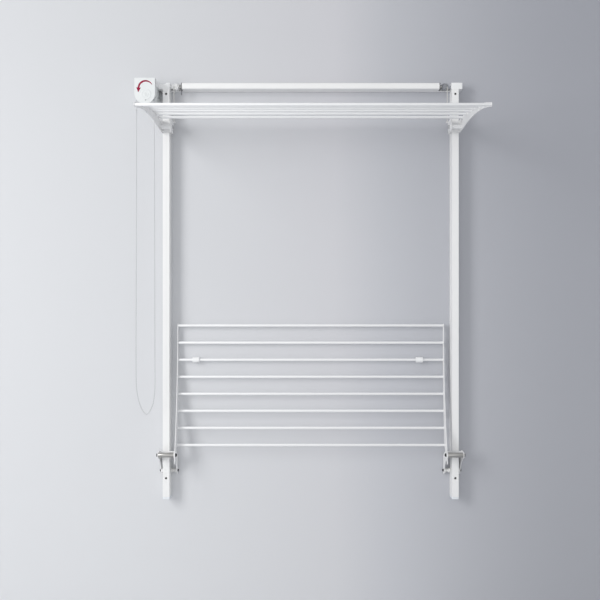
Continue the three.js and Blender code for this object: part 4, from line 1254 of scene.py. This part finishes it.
def covered_places():
    """Rectangles of wall, in x and z, that lie wholly behind a flat back of the rack."""
    places = []
    for node in ("rail_left", "rail_right", "head_beam", "gearbox_housing"):
        low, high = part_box(node)
        bottom = high[2] - WINCH_STRAIGHT if node == "gearbox_housing" else low[2]
        places.append((low[0] + COVERED, high[0] - COVERED,
                       bottom + COVERED, high[2] - COVERED))
    half, tall = WINCH_ROUND
    places.append((wheel.x - half, wheel.x + half, bottom - tall, bottom + COVERED))
    return places


def wall_sheet():
    """The wall as a grid of panels, left open where the rack's flat backs cover it."""
    places = covered_places()
    across = sorted({-HALF_ROOM, HALF_ROOM, *(x for place in places for x in place[:2])})
    upward = sorted({FLOOR_Z, CEILING_Z, *(z for place in places for z in place[2:])})
    corners = [(x, WALL_Y, z) for z in upward for x in across]
    faces = []
    for row, (below, above) in enumerate(zip(upward, upward[1:])):
        for column, (left, right) in enumerate(zip(across, across[1:])):
            x = (left + right) / 2
            z = (below + above) / 2
            if any(west < x < east and foot < z < head for west, east, foot, head in places):
                continue
            corner = row * len(across) + column
            faces.append((corner, corner + 1, corner + 1 + len(across), corner + len(across)))
    sheet_of_stage("wall", corners, faces, wall_with_painted_falloff())


wall_sheet()
square = ((-1, -1), (1, -1), (1, 1), (-1, 1))
floor_corners = [(x * HALF_ROOM, y * HALF_ROOM, FLOOR_Z) for x, y in square]
sheet_of_stage("floor", floor_corners, [(0, 1, 2, 3)], screed_floor())
print("stage: wall and floor")


# %% Soft studio light
def soft_light(name, place, aim, size, power, tint=(1, 1, 1)):
    lamp = bpy.data.lights.new(name, "AREA")
    lamp.shape = "RECTANGLE"
    lamp.size, lamp.size_y = size
    lamp.energy = power
    lamp.color = tint
    obj = placed(name, lamp)
    obj.location = place
    obj.rotation_euler = (Vector(aim) - Vector(place)).to_track_quat("-Z", "Y").to_euler()


soft_light("window_side", (-2.7, -2.6, 0.2), (0.0, 0, -0.9), (1.2, 2.3), 66, (1, 0.995, 0.985))
soft_light("front_fill", (-0.3, -4.4, -1.0), (0, 0, -0.9), (3.4, 3.2), 31)
soft_light("right_fill", (3.4, -0.9, -0.8), (-0.5, 0, -0.8), (1.2, 2.4), 6)
soft_light("back_fill", (0.6, 3.4, 0.6), (0, 0, -0.8), (3.0, 2.5), 22, (0.97, 0.985, 1))
world = bpy.data.worlds.new("studio_air")
world.use_nodes = True
air = world.node_tree.nodes["Background"].inputs
air["Color"].default_value = (0.97, 0.98, 1.0, 1)
air["Strength"].default_value = 0.6
bpy.context.scene.world = world
print("lights: one key, three fills and the air")
